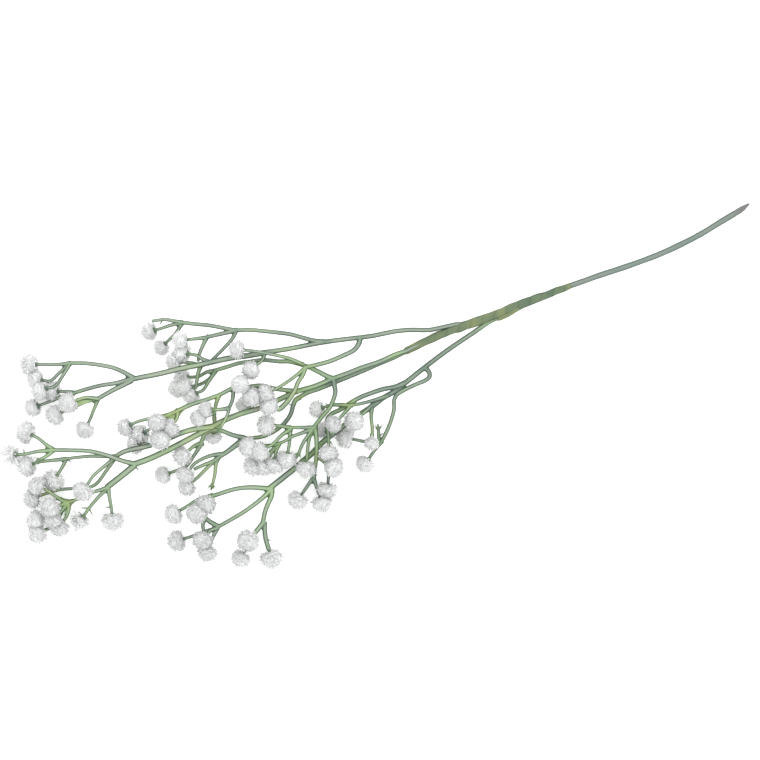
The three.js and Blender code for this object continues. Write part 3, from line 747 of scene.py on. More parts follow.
def moulded_green():
    finish = Finish("moulded_green")
    tone, stripe = finish.shade("tone"), finish.shade("stripe")
    cloud = finish.noise(60.0)
    uneven = finish.math("ADD", tone, finish.spread(cloud, 0.3, 0.7, -0.2, 0.2), clamp=False)
    colour = finish.ramp(uneven, GREENS)
    # Painted highlight: a pale line along the flat faces of each twig, yellower where the green is fresh.
    painted_highlight = finish.mix(finish.spread(tone, 0.80, 1.10), PAINTED_HIGHLIGHT, FRESH_PAINTED_HIGHLIGHT)
    highlight_share = finish.math("MULTIPLY", stripe, finish.spread(tone, 0.0, 1.0, 0.42, 0.78))
    colour = finish.mix(highlight_share, colour, painted_highlight)
    colour = finish.mix(finish.math("MULTIPLY", stripe, finish.shade("dust")), colour, DUSTY)
    # Painted shade: the sides of each twig are darker.
    colour = finish.mix(finish.spread(stripe, 0.0, 0.7, 0.72, 0.0), colour, PAINTED_EDGE_SHADE)
    speck = finish.spread(finish.noise(900.0, 2.0), 0.55, 0.75, 0.0, 0.16)
    finish.set(Base_Color=finish.mix(speck, colour, GREEN_SPECK))
    finish.set(Roughness=finish.spread(cloud, 0.3, 0.7, 0.42, 0.62), Specular_IOR_Level=0.35)
    finish.set(Subsurface_Weight=0.12, Subsurface_Radius=(0.6, 1.0, 0.4), Subsurface_Scale=0.001)
    finish.bump(finish.noise(1400.0, 2.0), 0.00008)
    return finish.material


GREEN = moulded_green()
print("nodes of the green:", len(GREEN.node_tree.nodes))

# %% [markdown]
# The coating of the wire is a bluer, smoother plastic, pulled through a die. A band along its top is
# painted paler, as painted light, and its sides and underside are painted darker, as painted shade. Its
# cut end is grey. The thin wire inside is bare steel.

# %% Coated wire
COATING = ((0.142, 0.196, 0.168, 1), (0.200, 0.227, 0.195, 1))
# Painted shade for the sides and underside of the wire, round a paler band along its top.
COATING_SHADE = (0.050, 0.082, 0.068, 1)
CUT_GREY = (0.138, 0.134, 0.131, 1)
STEEL = (0.42, 0.42, 0.42, 1)


def coated_wire():
    finish = Finish("coated_wire")
    cloud = finish.noise(45.0)
    colour = finish.mix(finish.spread(cloud, 0.35, 0.65), *COATING)
    # Painted light: the band along the top keeps the coating's colour, and the rest takes painted shade.
    colour = finish.mix(finish.shade("stripe"), COATING_SHADE, colour)
    colour = finish.mix(finish.shade("cut"), colour, CUT_GREY)
    finish.set(Base_Color=finish.mix(finish.shade("metal"), colour, STEEL))
    finish.set(Roughness=finish.spread(cloud, 0.3, 0.7, 0.40, 0.55), Specular_IOR_Level=0.4)
    finish.bump(finish.noise(700.0, 2.0), 0.00006)
    return finish.material


WIRE = coated_wire()
print("nodes of the coated wire:", len(WIRE.node_tree.nodes))

# %% [markdown]
# Floral tape is crepe paper soaked in wax. Its fine creases run across the strip and carry a painted
# highlight on their ridges, it is dull, and where it was stretched hard the wax shows olive and a little
# yellow.

# %% Floral tape
CREPE = ((0.086, 0.134, 0.090, 1), (0.128, 0.174, 0.098, 1))
WAX_OLIVE = (0.225, 0.252, 0.100, 1)
# Painted shade at the overlaps and on the flanks of the tape.
TAPE_PAINTED_SHADE = (0.030, 0.055, 0.030, 1)
# Painted highlight on the ridges of the creases.
CREASE_PAINTED_HIGHLIGHT = (0.25, 0.29, 0.19, 1)
MOST_OLIVE = 0.55


def floral_tape():
    finish = Finish("floral_tape")
    colour = finish.mix(finish.spread(finish.noise(95.0), 0.36, 0.62), *CREPE)
    olive = finish.math("MULTIPLY", finish.shade("olive"), MOST_OLIVE)
    colour = finish.mix(olive, colour, WAX_OLIVE)
    # Painted shade at each overlap of the tape and on its flanks.
    colour = finish.mix(finish.shade("edge"), colour, TAPE_PAINTED_SHADE)
    crease = finish.noise(1500.0, 3.0, 0.65)
    # Painted highlight on the ridges of the creases.
    colour = finish.mix(finish.spread(crease, 0.5, 0.75, 0.0, 0.3), colour, CREASE_PAINTED_HIGHLIGHT)
    finish.set(Base_Color=colour, Roughness=0.75, Specular_IOR_Level=0.25)
    finish.bump(crease, 0.00025)
    return finish.material


TAPE = floral_tape()
print("nodes of the tape:", len(TAPE.node_tree.nodes))

# %% [markdown]
# The petals are thin, soft and slightly see-through. Light that enters one petal comes out of the next, so
# the gaps between them fill with light instead of going dark. Subsurface scattering does that. Some petals
# are greyer than others, and the deep parts near their bases are painted a little whiter: painted light
# against the shade in the gaps.

# %% Soft white
PETAL_WHITE = ((0.775, 0.782, 0.780, 1), (0.810, 0.813, 0.808, 1))
PETAL_GREY = (0.530, 0.538, 0.537, 1)
# Painted light: the deep parts of the petals and the core are whiter, against the shade in the gaps.
DEEP_PAINTED_LIGHT = (0.80, 0.805, 0.81, 1)
DEEP_SHARE = 0.5


def soft_white():
    finish = Finish("soft_white")
    colour = finish.mix(finish.noise(350.0), *PETAL_WHITE)
    colour = finish.mix(finish.shade("grey"), colour, PETAL_GREY)
    # Painted light: whiter towards the petals' bases and on the core.
    deep = finish.math("MULTIPLY", finish.shade("deep"), DEEP_SHARE)
    finish.set(Base_Color=finish.mix(deep, colour, DEEP_PAINTED_LIGHT), Specular_IOR_Level=0.3)
    finish.set(Roughness=finish.spread(finish.noise(900.0, 2.0), 0.3, 0.7, 0.5, 0.7))
    finish.set(Subsurface_Weight=0.5, Subsurface_Radius=(1.0, 1.0, 1.0), Subsurface_Scale=0.0012)
    finish.bump(finish.noise(1600.0, 2.0), 0.00005)
    return finish.material


WHITE = soft_white()
print("nodes of the soft white:", len(WHITE.node_tree.nodes))

# %% [markdown]
# ## The wire stem
#
# A tube along the stem's course, a little uneven, as a coating is. The end was cut with pliers:
# they pinch the coating to one side and leave a slanting face. Inside the tape the coating is
# stripped and only the thin wire goes on.

# %% Wire stem
STEM_RADIUS = 2.0
STEM_SIDES = 20
STEM_WANDER = [(0.05, 7.3, 0), (0.04, 2.9, 1)]  # how much, over what length, from what start
DIE_RIDGE = 0.06
DIE_RIDGE_TURN = math.radians(300)
DIE_RIDGE_REACH = 0.25
# Where round the wire the band of painted light is centred, close to its top.
PAINTED_LIGHT_TURN = math.radians(-3)
PINCH_LENGTH = 7.5
PINCH_SHIFT = 0.5
PINCH_DEPTH = 0.62
WIRE_RADIUS = 0.5


def make_stem():
    line = smooth_line(STEM_LINE, 0.8)
    far = lengths(line)
    turn = full_turn(STEM_SIDES)
    pinch = 1 - soft_step(far, 0, PINCH_LENGTH)
    line = line + across(line)[1] * (pinch * PINCH_SHIFT)[:, None]
    wander = sum(most * np.sin(far / length + start) for most, length, start in STEM_WANDER)
    radius = (STEM_RADIUS + wander) * (1 - PINCH_DEPTH * pinch**1.2)
    ridge = DIE_RIDGE * bell(turn - DIE_RIDGE_TURN, DIE_RIDGE_REACH)
    coating, faces = tube(line, radius[:, None] + ridge[None], STEM_SIDES)
    wire_line = smooth_line(WIRE_LINE, 3.0)
    wire, wire_faces = tube(wire_line, np.full((len(wire_line), 1), WIRE_RADIUS), 8)
    # Painted light: a band along the top of the wire, with painted shade round the rest.
    stripe = soft_step(np.cos(turn - PAINTED_LIGHT_TURN), 0.60, 0.97)
    cut = np.repeat(1 - soft_step(far, 4, 16), STEM_SIDES)
    none = np.zeros(len(wire))
    shades = {
        "stripe": np.concatenate([np.tile(stripe, len(line)), [0.5, 0.5], none]),
        "cut": np.concatenate([cut, [1, 0], none]),
        "metal": np.concatenate([np.zeros(len(coating)), none + 1]),
    }
    vertices, faces = gather([(coating, faces), (wire, wire_faces)])
    new_piece("stem_wire", vertices, faces, WIRE, ["wire_stem"], shades)


make_stem()
print("stem_wire:", triangles["stem_wire"], "triangles")

# %% [markdown]
# ## The floral tape
#
# The tape is wound round the wire and the roots of the sprays in overlapping turns. It could be a
# flat strip swept along a helix, but then its inner half would never be seen. A sleeve whose
# radius jumps at each overlap, like a screw thread with a very low step, looks the same and is
# one clean solid. Roots that run under the tape lift it into ridges.

# %% Shape of the tape
TAPE_RADIUS = 2.65
TAPE_SIDES = 28
TAPE_PITCH = 8.5
TAPE_STEP = 0.2
TAPE_THINNER = 0.42  # how much thinner it starts, over the bare stem
TAPE_RIDGES = [(50, 86, -90, 0.5), (24, 52, 90, 0.5)]  # from, to, side, height
RIDGE_REACH = 0.55
TAPE_END_SHARE = 0.55


def ridge(far, turn, start, end, angle, height):
    """A long low swelling of the tape over a root, at one angle round it."""
    length = soft_step(far, start - 3, start + 4) * (1 - soft_step(far, end - 2, end + 3))
    away = np.angle(np.exp(1j * (turn - math.radians(angle))))
    return height * length[:, None] * bell(away, RIDGE_REACH)[None]


def sleeve_radius(far, turn, thread, fade):
    """Radius of the sleeve for each ring and side."""
    down = far[:, None]
    lumps = 0.15 * np.sin(down / 3.1) * np.sin(turn * 2 + down / 9)
    lumps = lumps + 0.10 * np.sin(down / 1.7 + 2) * np.cos(turn * 3 - 1)
    radius = TAPE_RADIUS + TAPE_STEP * thread**0.7 * fade + lumps
    radius = radius - TAPE_THINNER * (1 - soft_step(down, 22, 40))
    for root in TAPE_RIDGES:
        radius = radius + ridge(far, turn, *root)
    start = soft_step(down, 3.0, 8.0)
    end = soft_step(down[-1] - down, 0.0, 4.0)
    on_stem = STEM_RADIUS * 0.95
    radius = on_stem + (radius - on_stem) * start
    return radius * (TAPE_END_SHARE + (1 - TAPE_END_SHARE) * end)


print("turns of the tape:", round(lengths(smooth_line(TAPE_LINE, 0.5))[-1] / TAPE_PITCH, 1))

# %% [markdown]
# A short collar of tape goes on round the low spray, where it leaves the bundle.

# %% Collar of the tape
COLLAR_LINE = [[46, 15.4, 21.4], [41, 12.4, 22.2], [36, 9.6, 22.7], [31.5, 7.2, 22.9]]
COLLAR_SIDES = 16
COLLAR_RADIUS = 2.35
COLLAR_TAPER = 0.25
COLLAR_LUMPS = 0.12


def collar():
    line = smooth_line(COLLAR_LINE, 0.5)
    along = np.linspace(0, 1, len(line))[:, None]
    lumps = COLLAR_LUMPS * np.sin(2 * full_turn(COLLAR_SIDES) + 9 * along)
    radius = COLLAR_RADIUS - COLLAR_TAPER * along + lumps
    radius = radius * (0.7 + 0.3 * soft_step(1 - along, 0.0, 0.12))
    return tube(line, radius, COLLAR_SIDES)


print("corners of the collar:", len(collar()[0]))

# %% [markdown]
# The tape is painted darker at each overlap and on its flanks, as painted shade, and olive at a few spots
# where it was stretched over the ends of the roots.

# %% The tape
OLIVE_SPOTS = [(6.5, 2.2), (55, 3.0), (75, 3.0), (119, 3.5)]  # distance along the tape, reach
OLIVE_FURTHER = 0.35
COLLAR_OLIVE = 0.8
OVERLAP_SHADE = 0.32
FLANK_SHADE = 0.48
FLANK_SWAY = 0.25


def make_tape():
    line = smooth_line(TAPE_LINE, 0.5)
    far = lengths(line)
    down, turn = far[:, None], full_turn(TAPE_SIDES)
    thread = (down / TAPE_PITCH + turn[None] / (2 * math.pi)) % 1.0
    fade = 1 - soft_step(down, far[-1] - 30, far[-1] - 12)
    sleeve = tube(line, sleeve_radius(far, turn, thread, fade), TAPE_SIDES)
    # Painted shade at each overlap of the tape and on its flanks.
    edge = OVERLAP_SHADE * (np.exp(-thread / 0.06) + np.exp(-(1 - thread) / 0.05)) * fade
    flank = 1 - soft_step(np.cos(turn + FLANK_SWAY * np.sin(down / 11)), 0.30, 0.80)
    edge = np.clip(edge + FLANK_SHADE * flank, 0, 1)
    olive = sum(bell(far - place, reach) for place, reach in OLIVE_SPOTS)
    olive = np.clip(olive + OLIVE_FURTHER * soft_step(far, 38, 62), 0, 1)
    vertices, faces = gather([sleeve, collar()])
    on_collar = np.ones(len(vertices) - len(sleeve[0]))
    shades = {
        "edge": np.concatenate([edge.ravel(), [0, 0], 0 * on_collar]),
        "olive": np.concatenate([np.repeat(olive, TAPE_SIDES), [1, 1], COLLAR_OLIVE * on_collar]),
    }
    new_piece("tape_winding", vertices, faces, TAPE, ["floral_tape"], shades)


make_tape()
print("tape_winding:", triangles["tape_winding"], "triangles")

# %% [markdown]
# ## The moulded sprays
#
# All rods, limbs and twigs of a spray are one piece of plastic, with a soft fillet wherever two
# meet. Joining tubes with booleans would leave a hard crease there. So the tubes are laid over
# each other, a thin web is put into each narrow fork, and a voxel remesh then wraps one skin round
# them all. Smoothing turns its creases into fillets, and fewer faces are kept where it is plain.
#
# Every branch tapers from one radius to another. Some are stouter or finer than others of their
# kind: those are named by their spray, their kind or head, and their number in its list.

# %% How thick the branches are
RADII = {"rods": (1.65, 1.55), "limbs": (1.5, 1.35), "twigs": (1.25, 1.05)}
ROOT_RADII = (0.8, 1.65)
OTHER_RADII = {
    ("upper_spray", "rods", 0): (1.6, 1.7),
    ("upper_spray", "rods", 1): (2.0, 1.8),
    ("upper_spray", "limbs", 1): (1.65, 1.5),
    ("upper_spray", "limbs", 4): (1.65, 1.5),
    ("upper_spray", "twigs", 1): (1.5, 1.3),
    ("upper_spray", "flower_cluster_13", 1): (1.2, 1.9),
    ("long_spray", "rods", 0): (1.6, 2.1),
    ("long_spray", "rods", 1): (2.25, 2.1),
    ("long_spray", "limbs", 1): (1.9, 1.6),
    ("long_spray", "limbs", 3): (1.65, 1.5),
    ("long_spray", "twigs", 6): (1.5, 1.35),
    ("curved_spray", "limbs", 2): (1.95, 1.5),
    ("low_spray", "rods", 0): (1.65, 2.05),
    ("low_spray", "limbs", 0): (1.65, 1.5),
    ("low_spray", "limbs", 2): (1.6, 1.45),
    ("low_spray", "limbs", 4): (1.6, 1.6),
    ("low_spray", "flower_50", 0): (1.6, 1.5),
    ("low_spray", "flower_52", 0): (1.55, 1.55),
    ("low_spray", "flower_cluster_46", 1): (1.5, 1.5),
}
FORK_SWELLING = 0.3
FORK_REACH = 5.0
print("branches with a thickness of their own:", len(OTHER_RADII))

# %% [markdown]
# A spray starts at its root, which lies beside the wire under the tape. A flowering twig ends at
# the foot of its calyx, and the head sits a little further on in the same direction.

# %% Branches of a spray
ROOT_OFFSET = 1.6
CALYX_FOOT = 6.1
ROOT_SIDES = {"left": (-0.36, 0.93, 0), "right": (0.36, -0.93, 0), "above": (0, 0, 1), "below": (0, 0, -1)}


def head_seat(path):
    """Middle of a head, and the direction in which it is pushed onto its twig."""
    middle = np.array(path[-1], float)
    return middle, unit(middle - np.array(path[-2], float))


def stalk(path):
    """The course of a flowering twig, which ends at the foot of its calyx."""
    middle, direction = head_seat(path)
    return [*path[:-1], list(middle - direction * CALYX_FOOT)]


def courses(spray):
    """(kind or head, number, course) for every rod, limb and twig of a spray."""
    for kind in RADII:
        for number, path in enumerate(spray[kind]):
            yield kind, number, path
    for head, paths in spray["flowers"].items():
        for number, path in enumerate(paths):
            yield head, number, stalk(path)


def branches(spray):
    """(line, radius along it, whether it starts at a fork) for every branch of a spray."""
    root = spray["root"]
    offset = np.array(ROOT_SIDES[root["side"]]) * ROOT_OFFSET
    rooted = [list(np.array(place) + offset) for place in root["beside"]] + [root["exit"]]
    wanted = [(rooted, ROOT_RADII, False)]
    for kind, number, path in courses(spray):
        radii = OTHER_RADII.get((spray["name"], kind, number), RADII.get(kind, RADII["twigs"]))
        wanted.append((path, radii, kind != "rods"))
    found = []
    for path, (thick, thin), forks in wanted:
        line = smooth_line(path, 1.0)
        far = lengths(line)
        radius = thick + (thin - thick) * far / far[-1]
        if forks:
            radius = radius * (1 + FORK_SWELLING * np.exp(-far / FORK_REACH))
        found.append((line, radius, forks))
    return found


for spray in SPRAYS:
    print(spray["name"] + ":", len(branches(spray)), "branches")

# %% [markdown]
# In a narrow fork the mould leaves a web between the two branches. For each pair that leaves the same
# place, the web reaches as far as the gap between them stays narrow. Wider plates, where three or four
# branches meet, are given by their three corners.

# %% Plates
PLATE_HALF_THICKNESS = 0.75
PLATES = {
    "upper_spray": [([-235.6, -46.4, 21], [-249, -45, 21], [-249, -51, 21])],
    "long_spray": [
        ([-266, -109.5, 12], [-251, -114, 12], [-256, -118, 12]),
        ([-249.3, -112.7, 12], [-256, -116.7, 12], [-258, -124.7, 12]),
        ([-193, -58, 29.5], [-173.3, -48.3, 31], [-182.5, -60, 30.5]),
    ],
    "curved_spray": [],
    "low_spray": [],
}


def plate(corners):
    """A thin solid plate with three corners."""
    corners = np.array(corners, float)
    thick = unit(np.cross(corners[1] - corners[0], corners[2] - corners[0])) * PLATE_HALF_THICKNESS
    vertices = np.vstack([corners - thick, corners + thick])
    return vertices, [(2, 1, 0), (3, 4, 5), (0, 1, 4, 3), (1, 2, 5, 4), (2, 0, 3, 5)]


print("plates:", sum(len(plates) for plates in PLATES.values()))

# %% Webs in the forks
WEB_GAP = 0.8
WEB_REACH = 7.0
WEB_START = 5  # points along a branch from its fork, where its direction is taken
LEAST_FORK = math.radians(9)
WIDEST_FORK = math.radians(75)
FORK_NEAR = 2.2


def forward(line, radius, place):
    """The rest of a branch from the point nearest to `place`, or None if it ends or passes by."""
    away = np.linalg.norm(line - place, axis=1)
    at = int(away.argmin())
    rest = line[at:]
    if away[at] > FORK_NEAR or len(rest) <= WEB_START:
        return None
    return rest, float(radius[at])


def web(place, first, second):
    """A thin plate with three corners between two branches that leave `place`."""
    (line_a, radius_a), (line_b, radius_b) = first, second
    way_a, way_b = unit(line_a[WEB_START] - place), unit(line_b[WEB_START] - place)
    angle = math.acos(float(np.clip(way_a @ way_b, -1, 1)))
    if not LEAST_FORK < angle < WIDEST_FORK:
        return None
    reach = min((radius_a + radius_b + WEB_GAP) / (2 * math.sin(angle / 2)), WEB_REACH)
    ends = [line[min(len(line) - 1, round(reach))] for line in (line_a, line_b)]
    return plate([place, *ends])


def fork_places(found):
    """Where branches leave, with places closer than a branch is thick counted once."""
    places = []
    for line, _, forks in found:
        if forks and all(np.linalg.norm(line[0] - place) > FORK_NEAR for place in places):
            places.append(line[0])
    return places


def webs(found, places):
    plates = []
    for place in places:
        leaving = [forward(line, radius, place) for line, radius, _ in found]
        leaving = [branch for branch in leaving if branch]
        for i, first in enumerate(leaving):
            plates += [web(place, first, second) for second in leaving[i + 1 :]]
    return [plate for plate in plates if plate]


print("forks of each spray:", [len(fork_places(branches(spray))) for spray in SPRAYS])

# %% [markdown]
# The voxel remesh works on a scratch object in millimetres. Its result comes back as vertices
# and faces.

# %% One skin over all branches
VOXEL = 0.36
SOFTENING = 5
FACES_KEPT = 0.42


def fuse(solids):
    vertices, faces = gather(solids)
    mesh = bpy.data.meshes.new("scratch")
    mesh.from_pydata(vertices.tolist(), [], faces)
    scratch = bpy.data.objects.new("scratch", mesh)
    bpy.context.scene.collection.objects.link(scratch)
    skin = scratch.modifiers.new("skin", "REMESH")
    skin.mode = "VOXEL"
    skin.voxel_size = VOXEL
    scratch.modifiers.new("soft", "SMOOTH").iterations = SOFTENING
    scratch.modifiers.new("fewer", "DECIMATE").ratio = FACES_KEPT
    depsgraph = bpy.context.evaluated_depsgraph_get()
    done = bpy.data.meshes.new_from_object(scratch.evaluated_get(depsgraph))
    points = np.empty(len(done.vertices) * 3)
    done.vertices.foreach_get("co", points)
    polygons = [tuple(polygon.vertices) for polygon in done.polygons]
    bpy.data.objects.remove(scratch)
    bpy.data.meshes.remove(mesh)
    bpy.data.meshes.remove(done)
    return points.reshape(-1, 3), polygons


print("voxels across a twig:", round(2 * RADII["twigs"][1] / VOXEL, 1))

# %% [markdown]
# ## Where the green changes
#
# The wash and the dust lie on the sprays unevenly, and no rule says where. So their tones are listed
# spots, and each point of a spray takes a blend of the spots round it.

# %% Tones of the green
# Where the green is fresher (over 0.5) or washed darker (under 0.5): x, y, reach, tone.
# A few spots, such as those at (-114, -65) and (-124, -70), are set fresher only to lift twigs that lie in
# the shade of others: painted light.
TONES = [
    (40, 12, 60, 0.24), (0, 0, 30, 0.27), (-60, -5, 40, 0.3), (-130, -15, 50, 0.42),
    (-212, -32, 30, 0.44), (-250, -30, 30, 0.3), (-30, -14, 25, 0.46), (-78, -33, 25, 0.6),
    (-140, -55, 40, 0.62), (-185, -57, 30, 0.66), (-160, -42, 25, 0.6), (-211, -89, 20, 0.58),
    (-255, -80, 25, 0.52), (-250, -113, 18, 0.74), (-228, -105, 15, 0.6), (-90, -65, 16, 0.62),
    (-112, -74, 14, 0.74), (-105, -83, 14, 0.6), (-60, -29, 20, 0.45), (-110, -62, 16, 0.2),
    (-140, -72, 22, 0.26), (-160, -72, 12, 0.34), (0, -12, 25, 0.14), (-25, -32, 22, 0.16),
    (-50, -45, 22, 0.36), (-66, -60, 20, 0.4), (-243, -47, 7, 1.1), (-98, -90, 22, 0.36),
    (-121, -107, 14, 0.72), (-150, -112, 22, 0.46), (-124, -130, 12, 0.56), (-38, -60, 16, 0.3),
    (-112, -49, 9, 0.9), (-256, -103.5, 4, 0.05), (-262, -110.5, 4, 0.88), (-253, -114, 5, 1.0),
    (-269, -107, 4, 1.0), (-60, -5, 10, 0.15), (-17, -25, 9, 0.03), (-50, -42, 12, 0.2),
    (-52.5, -67, 5, 0.85), (-117, -77, 7, 0.92), (-207, -77, 9, 0.08), (-202, -86.8, 4, 0.8),
    (-37, -17.5, 6, 0.85), (-92, -38, 10, 0.82), (-88, -7, 7, 0.1), (-153, 2, 9, 0.1),
    (-155, -21, 9, 0.12), (-211, -32, 6, 0.2), (-240, -39, 9, 0.12), (-216, -28, 5, 0.12),
    (-147, -53, 5, 0.03), (-143, -47, 5, 0.15), (-183, -70, 5, 0.06), (-106, -54, 5, 0.03),
    (-108, -59, 4, 0.03), (-38, -38.7, 4, 0.08), (-46, -40, 8, 0.02), (-57, -44, 6, 0.12),
    (-112, -99, 5, 0.25), (-77, -37, 4, 0.15), (-110, -13, 5, 0.75), (-106, -3, 7, 0.12),
    (-145, -59, 7, 0.95), (-160, -65, 7, 1.0), (-173, -72.5, 6, 0.95), (-190, -81, 7, 0.9),
    (-184, -55, 7, 1.0), (-155, -49, 4, 0.95), (-151, -63, 4, 0.85), (-89, -72, 7, 0.85),
    (-89, -84, 7, 0.85), (-104, -22, 7, 0.75), (-149, -25, 6, 0.75), (-114, -65, 6, 0.75),
    (-124, -70, 7, 0.75), (-161, -69, 6, 0.9), (-157, -97, 7, 0.95), (-88, -77, 6, 0.9),
    (-100, -89, 7, 0.85), (-67, -49, 5, 0.85), (-77, -57, 6, 0.75), (-268, -83, 5, 0.8), (28, 6, 9, 0.6),
    (-21, -35, 5, 0.5), (-41, -65, 7, 0.6), (-31, -41.5, 4, 0.5), (-44, -46, 4, 0.5),
    (-60, -57, 8, 0.65), (-38, -53, 7, 0.5), (-45, -73, 7, 0.5), (-105, -65, 5, 0.85),
    (-146, -107, 10, 0.65), (-101, -46, 4, 0.85),
]
TONE_WEIGHT_REACH = 20  # spots with less reach than this weigh more than those with more


def spot_bell(points, x, y, reach):
    return bell(np.hypot(points[:, 0] - x, points[:, 1] - y), reach, 2)


def tone_at(points):
    """The tone of each point, blended from the listed tones round it."""
    total, weight = np.zeros(len(points)), np.full(len(points), 1e-9)
    for x, y, reach, tone in TONES:
        near = spot_bell(points, x, y, reach) * (TONE_WEIGHT_REACH / reach) ** 2
        total += near * tone
        weight += near
    return total / weight


print("tones:", len(TONES))

# %% Dust
# Where dust has settled or the paint is rubbed to a brownish grey: x, y, reach, amount.
DUST_SPOTS = [
    (-130, -52, 9, 0.9), (-188, -28, 24, 0.8), (-205, -78, 9, 0.9), (-222, -87, 15, 0.6),
    (-95, -50, 12, 0.5), (-70, -6, 25, 0.65), (-150, 0, 20, 0.4), (-232, -24, 13, 0.8),
]
DUST = {"upper_spray": 0.42, "long_spray": 0.20, "curved_spray": 0.15, "low_spray": 0.18}
DUSTIEST = (-35, -5)
DUST_REACH = 70


def dust_at(points, amount):
    """The rods near the tape are dustiest, and so are some spots further out."""
    away = np.hypot(points[:, 0] - DUSTIEST[0], points[:, 1] - DUSTIEST[1])
    dust = amount * (0.6 + 0.4 * np.exp(-away / DUST_REACH))
    for x, y, reach, most in DUST_SPOTS:
        dust = np.maximum(dust, most * spot_bell(points, x, y, reach))
    return dust


print("dusty spots:", len(DUST_SPOTS))

# %% [markdown]
# ## Grooves and mould lines
#
# The mould was open along the sides of the twigs. It left a fine raised line on each side, and a
# shallow groove on the flat faces, above and below. For each point of the skin, the nearest point
# of a branch's middle line tells which face it is on, and the skin is pressed in or lifted there.
# The same numbers tell the material where to paint light: a painted highlight along the flat faces of each
# twig, and painted shade along its sides.

# %% Where each point of the skin is
def on_branches(points, found):
    """For each point: the way out from the nearest middle line, how far it faces up or down, and
    how far it is out on a web, off the branch."""
    middles = np.vstack([line for line, _, _ in found])
    radii = np.concatenate([radius for _, radius, _ in found])
    ways = np.vstack([across(line)[0] for line, _, _ in found])
    sides = np.vstack([across(line)[1] for line, _, _ in found])
    tree = kdtree.KDTree(len(middles))
    for i, middle in enumerate(middles):
        tree.insert(middle, i)
    tree.balance()
    nearest = np.array([tree.find(point)[1] for point in points])
    way = ways[nearest]
    out = points - middles[nearest]
    out = out - way * np.sum(out * way, axis=1, keepdims=True) + 1e-9
    off = soft_step(np.linalg.norm(out, axis=1) / radii[nearest], 1.2, 1.7)
    out = unit(out)
    facing = np.abs(np.sum(out * sides[nearest], axis=1))
    return out, 1 - facing, off


middle_points = sum(len(line) for spray in SPRAYS for line, _, _ in branches(spray))
print("points on middle lines:", middle_points)

# %% Grooves, mould lines and shades
GROOVE = 0.16
MOULD_LINE = 0.07
FRESH = 0.12
FRESH_REACH = 5.0
SHADE_AT_TAPE = 0.26
SHADE_AT_FORK = 0.24
FORK_SHADE_REACH = 4


def finish_skin(points, found, places, dust):
    out, facing, off = on_branches(points, found)
    near_fork = np.min([np.linalg.norm(points - place, axis=1) for place in places], axis=0)
    plain = soft_step(near_fork, 2.0, 5.0)
    groove = GROOVE * soft_step(facing, 0.45, 0.85) * plain * (1 - off)
    line = MOULD_LINE * (1 - soft_step(facing, 0.01, 0.09)) * (1 - off)
    # Painted light along each twig: a highlight where it faces up or down and on the webs, and shade along
    # its sides, dimmer towards the tape and near the forks.
    shaded = 1 - SHADE_AT_TAPE * soft_step(points[:, 0], -135, -90)
    shaded = shaded * (1 - SHADE_AT_FORK * bell(near_fork, FORK_SHADE_REACH))
    shades = {
        "tone": tone_at(points) + FRESH * bell(near_fork, FRESH_REACH),
        "stripe": np.maximum(soft_step(facing, 0.18, 0.74), off) * shaded,
        "dust": dust_at(points, dust) * plain * (1 - off),
    }
    return points + out * (line - groove)[:, None], shades


print("depth of the groove in mm:", GROOVE)

# %% [markdown]
# ## Calyxes and spikes
#
# At the end of every twig sits a small cup with five pointed sepals. Tiny spikes, left over from
# the leaves of the real plant, stand at many forks. They are too thin for the voxel remesh, so
# they are added afterwards, rooted well inside the skin. A cup is turned on a lathe, as a potter
# turns a bowl, and then stood on its twig.

# %% Lathe
UP = np.array([0.0, 0.0, 1.0])


def lathe(profile, sides):
    """A solid turned round Z from (radius, height) points that start and end on the axis."""
    turn = full_turn(sides)
    rings = [
        np.stack([radius * np.cos(turn), radius * np.sin(turn), np.full(sides, height)], axis=1)
        for radius, height in profile[1:-1]
    ]
    ends = [[0, 0, profile[0][1]], [0, 0, profile[-1][1]]]
    return np.vstack([*rings, ends]), ring_faces(len(rings), sides)


def stand(vertices, middle, direction, roll):
    """Turns a solid made round Z so that it points along `direction` from `middle`."""
    z = unit(np.asarray(direction, float))
    helper = UP if abs(z[2]) < 0.9 else np.array([1.0, 0.0, 0.0])
    x = unit(np.cross(helper, z))
    y = np.cross(z, x)
    x, y = x * math.cos(roll) + y * math.sin(roll), y * math.cos(roll) - x * math.sin(roll)
    return vertices @ np.array([x, y, z]) + middle


print("corners of a cone with 8 sides:", len(lathe([(0, 0), (1, 0), (0, 1)], 8)[0]))

# %% [markdown]
# The sepals are blades that spring from the cup. They lie back against it where a head is pushed
# on, and stand up round the peg where the calyx is bare.

# %% Calyxes
CUP = [(0.0, -6.6), (0.8, -6.5), (1.15, -5.6), (1.7, -4.6), (1.95, -3.9), (1.55, -3.55), (0.0, -3.5)]
CUP_SIDES = 10
PEG = [(0.0, -3.8), (0.75, -3.8), (0.55, -1.4), (0.0, -1.0)]
PEG_SIDES = 8
SEPALS = 5
SEPAL_HEIGHT = -4.6
SEPAL_PROFILE = (1.0, 0.85, 0.5, 0.2)
SEPAL_HALF_WIDTH = 0.62
SEPAL_THICKNESS = 0.3


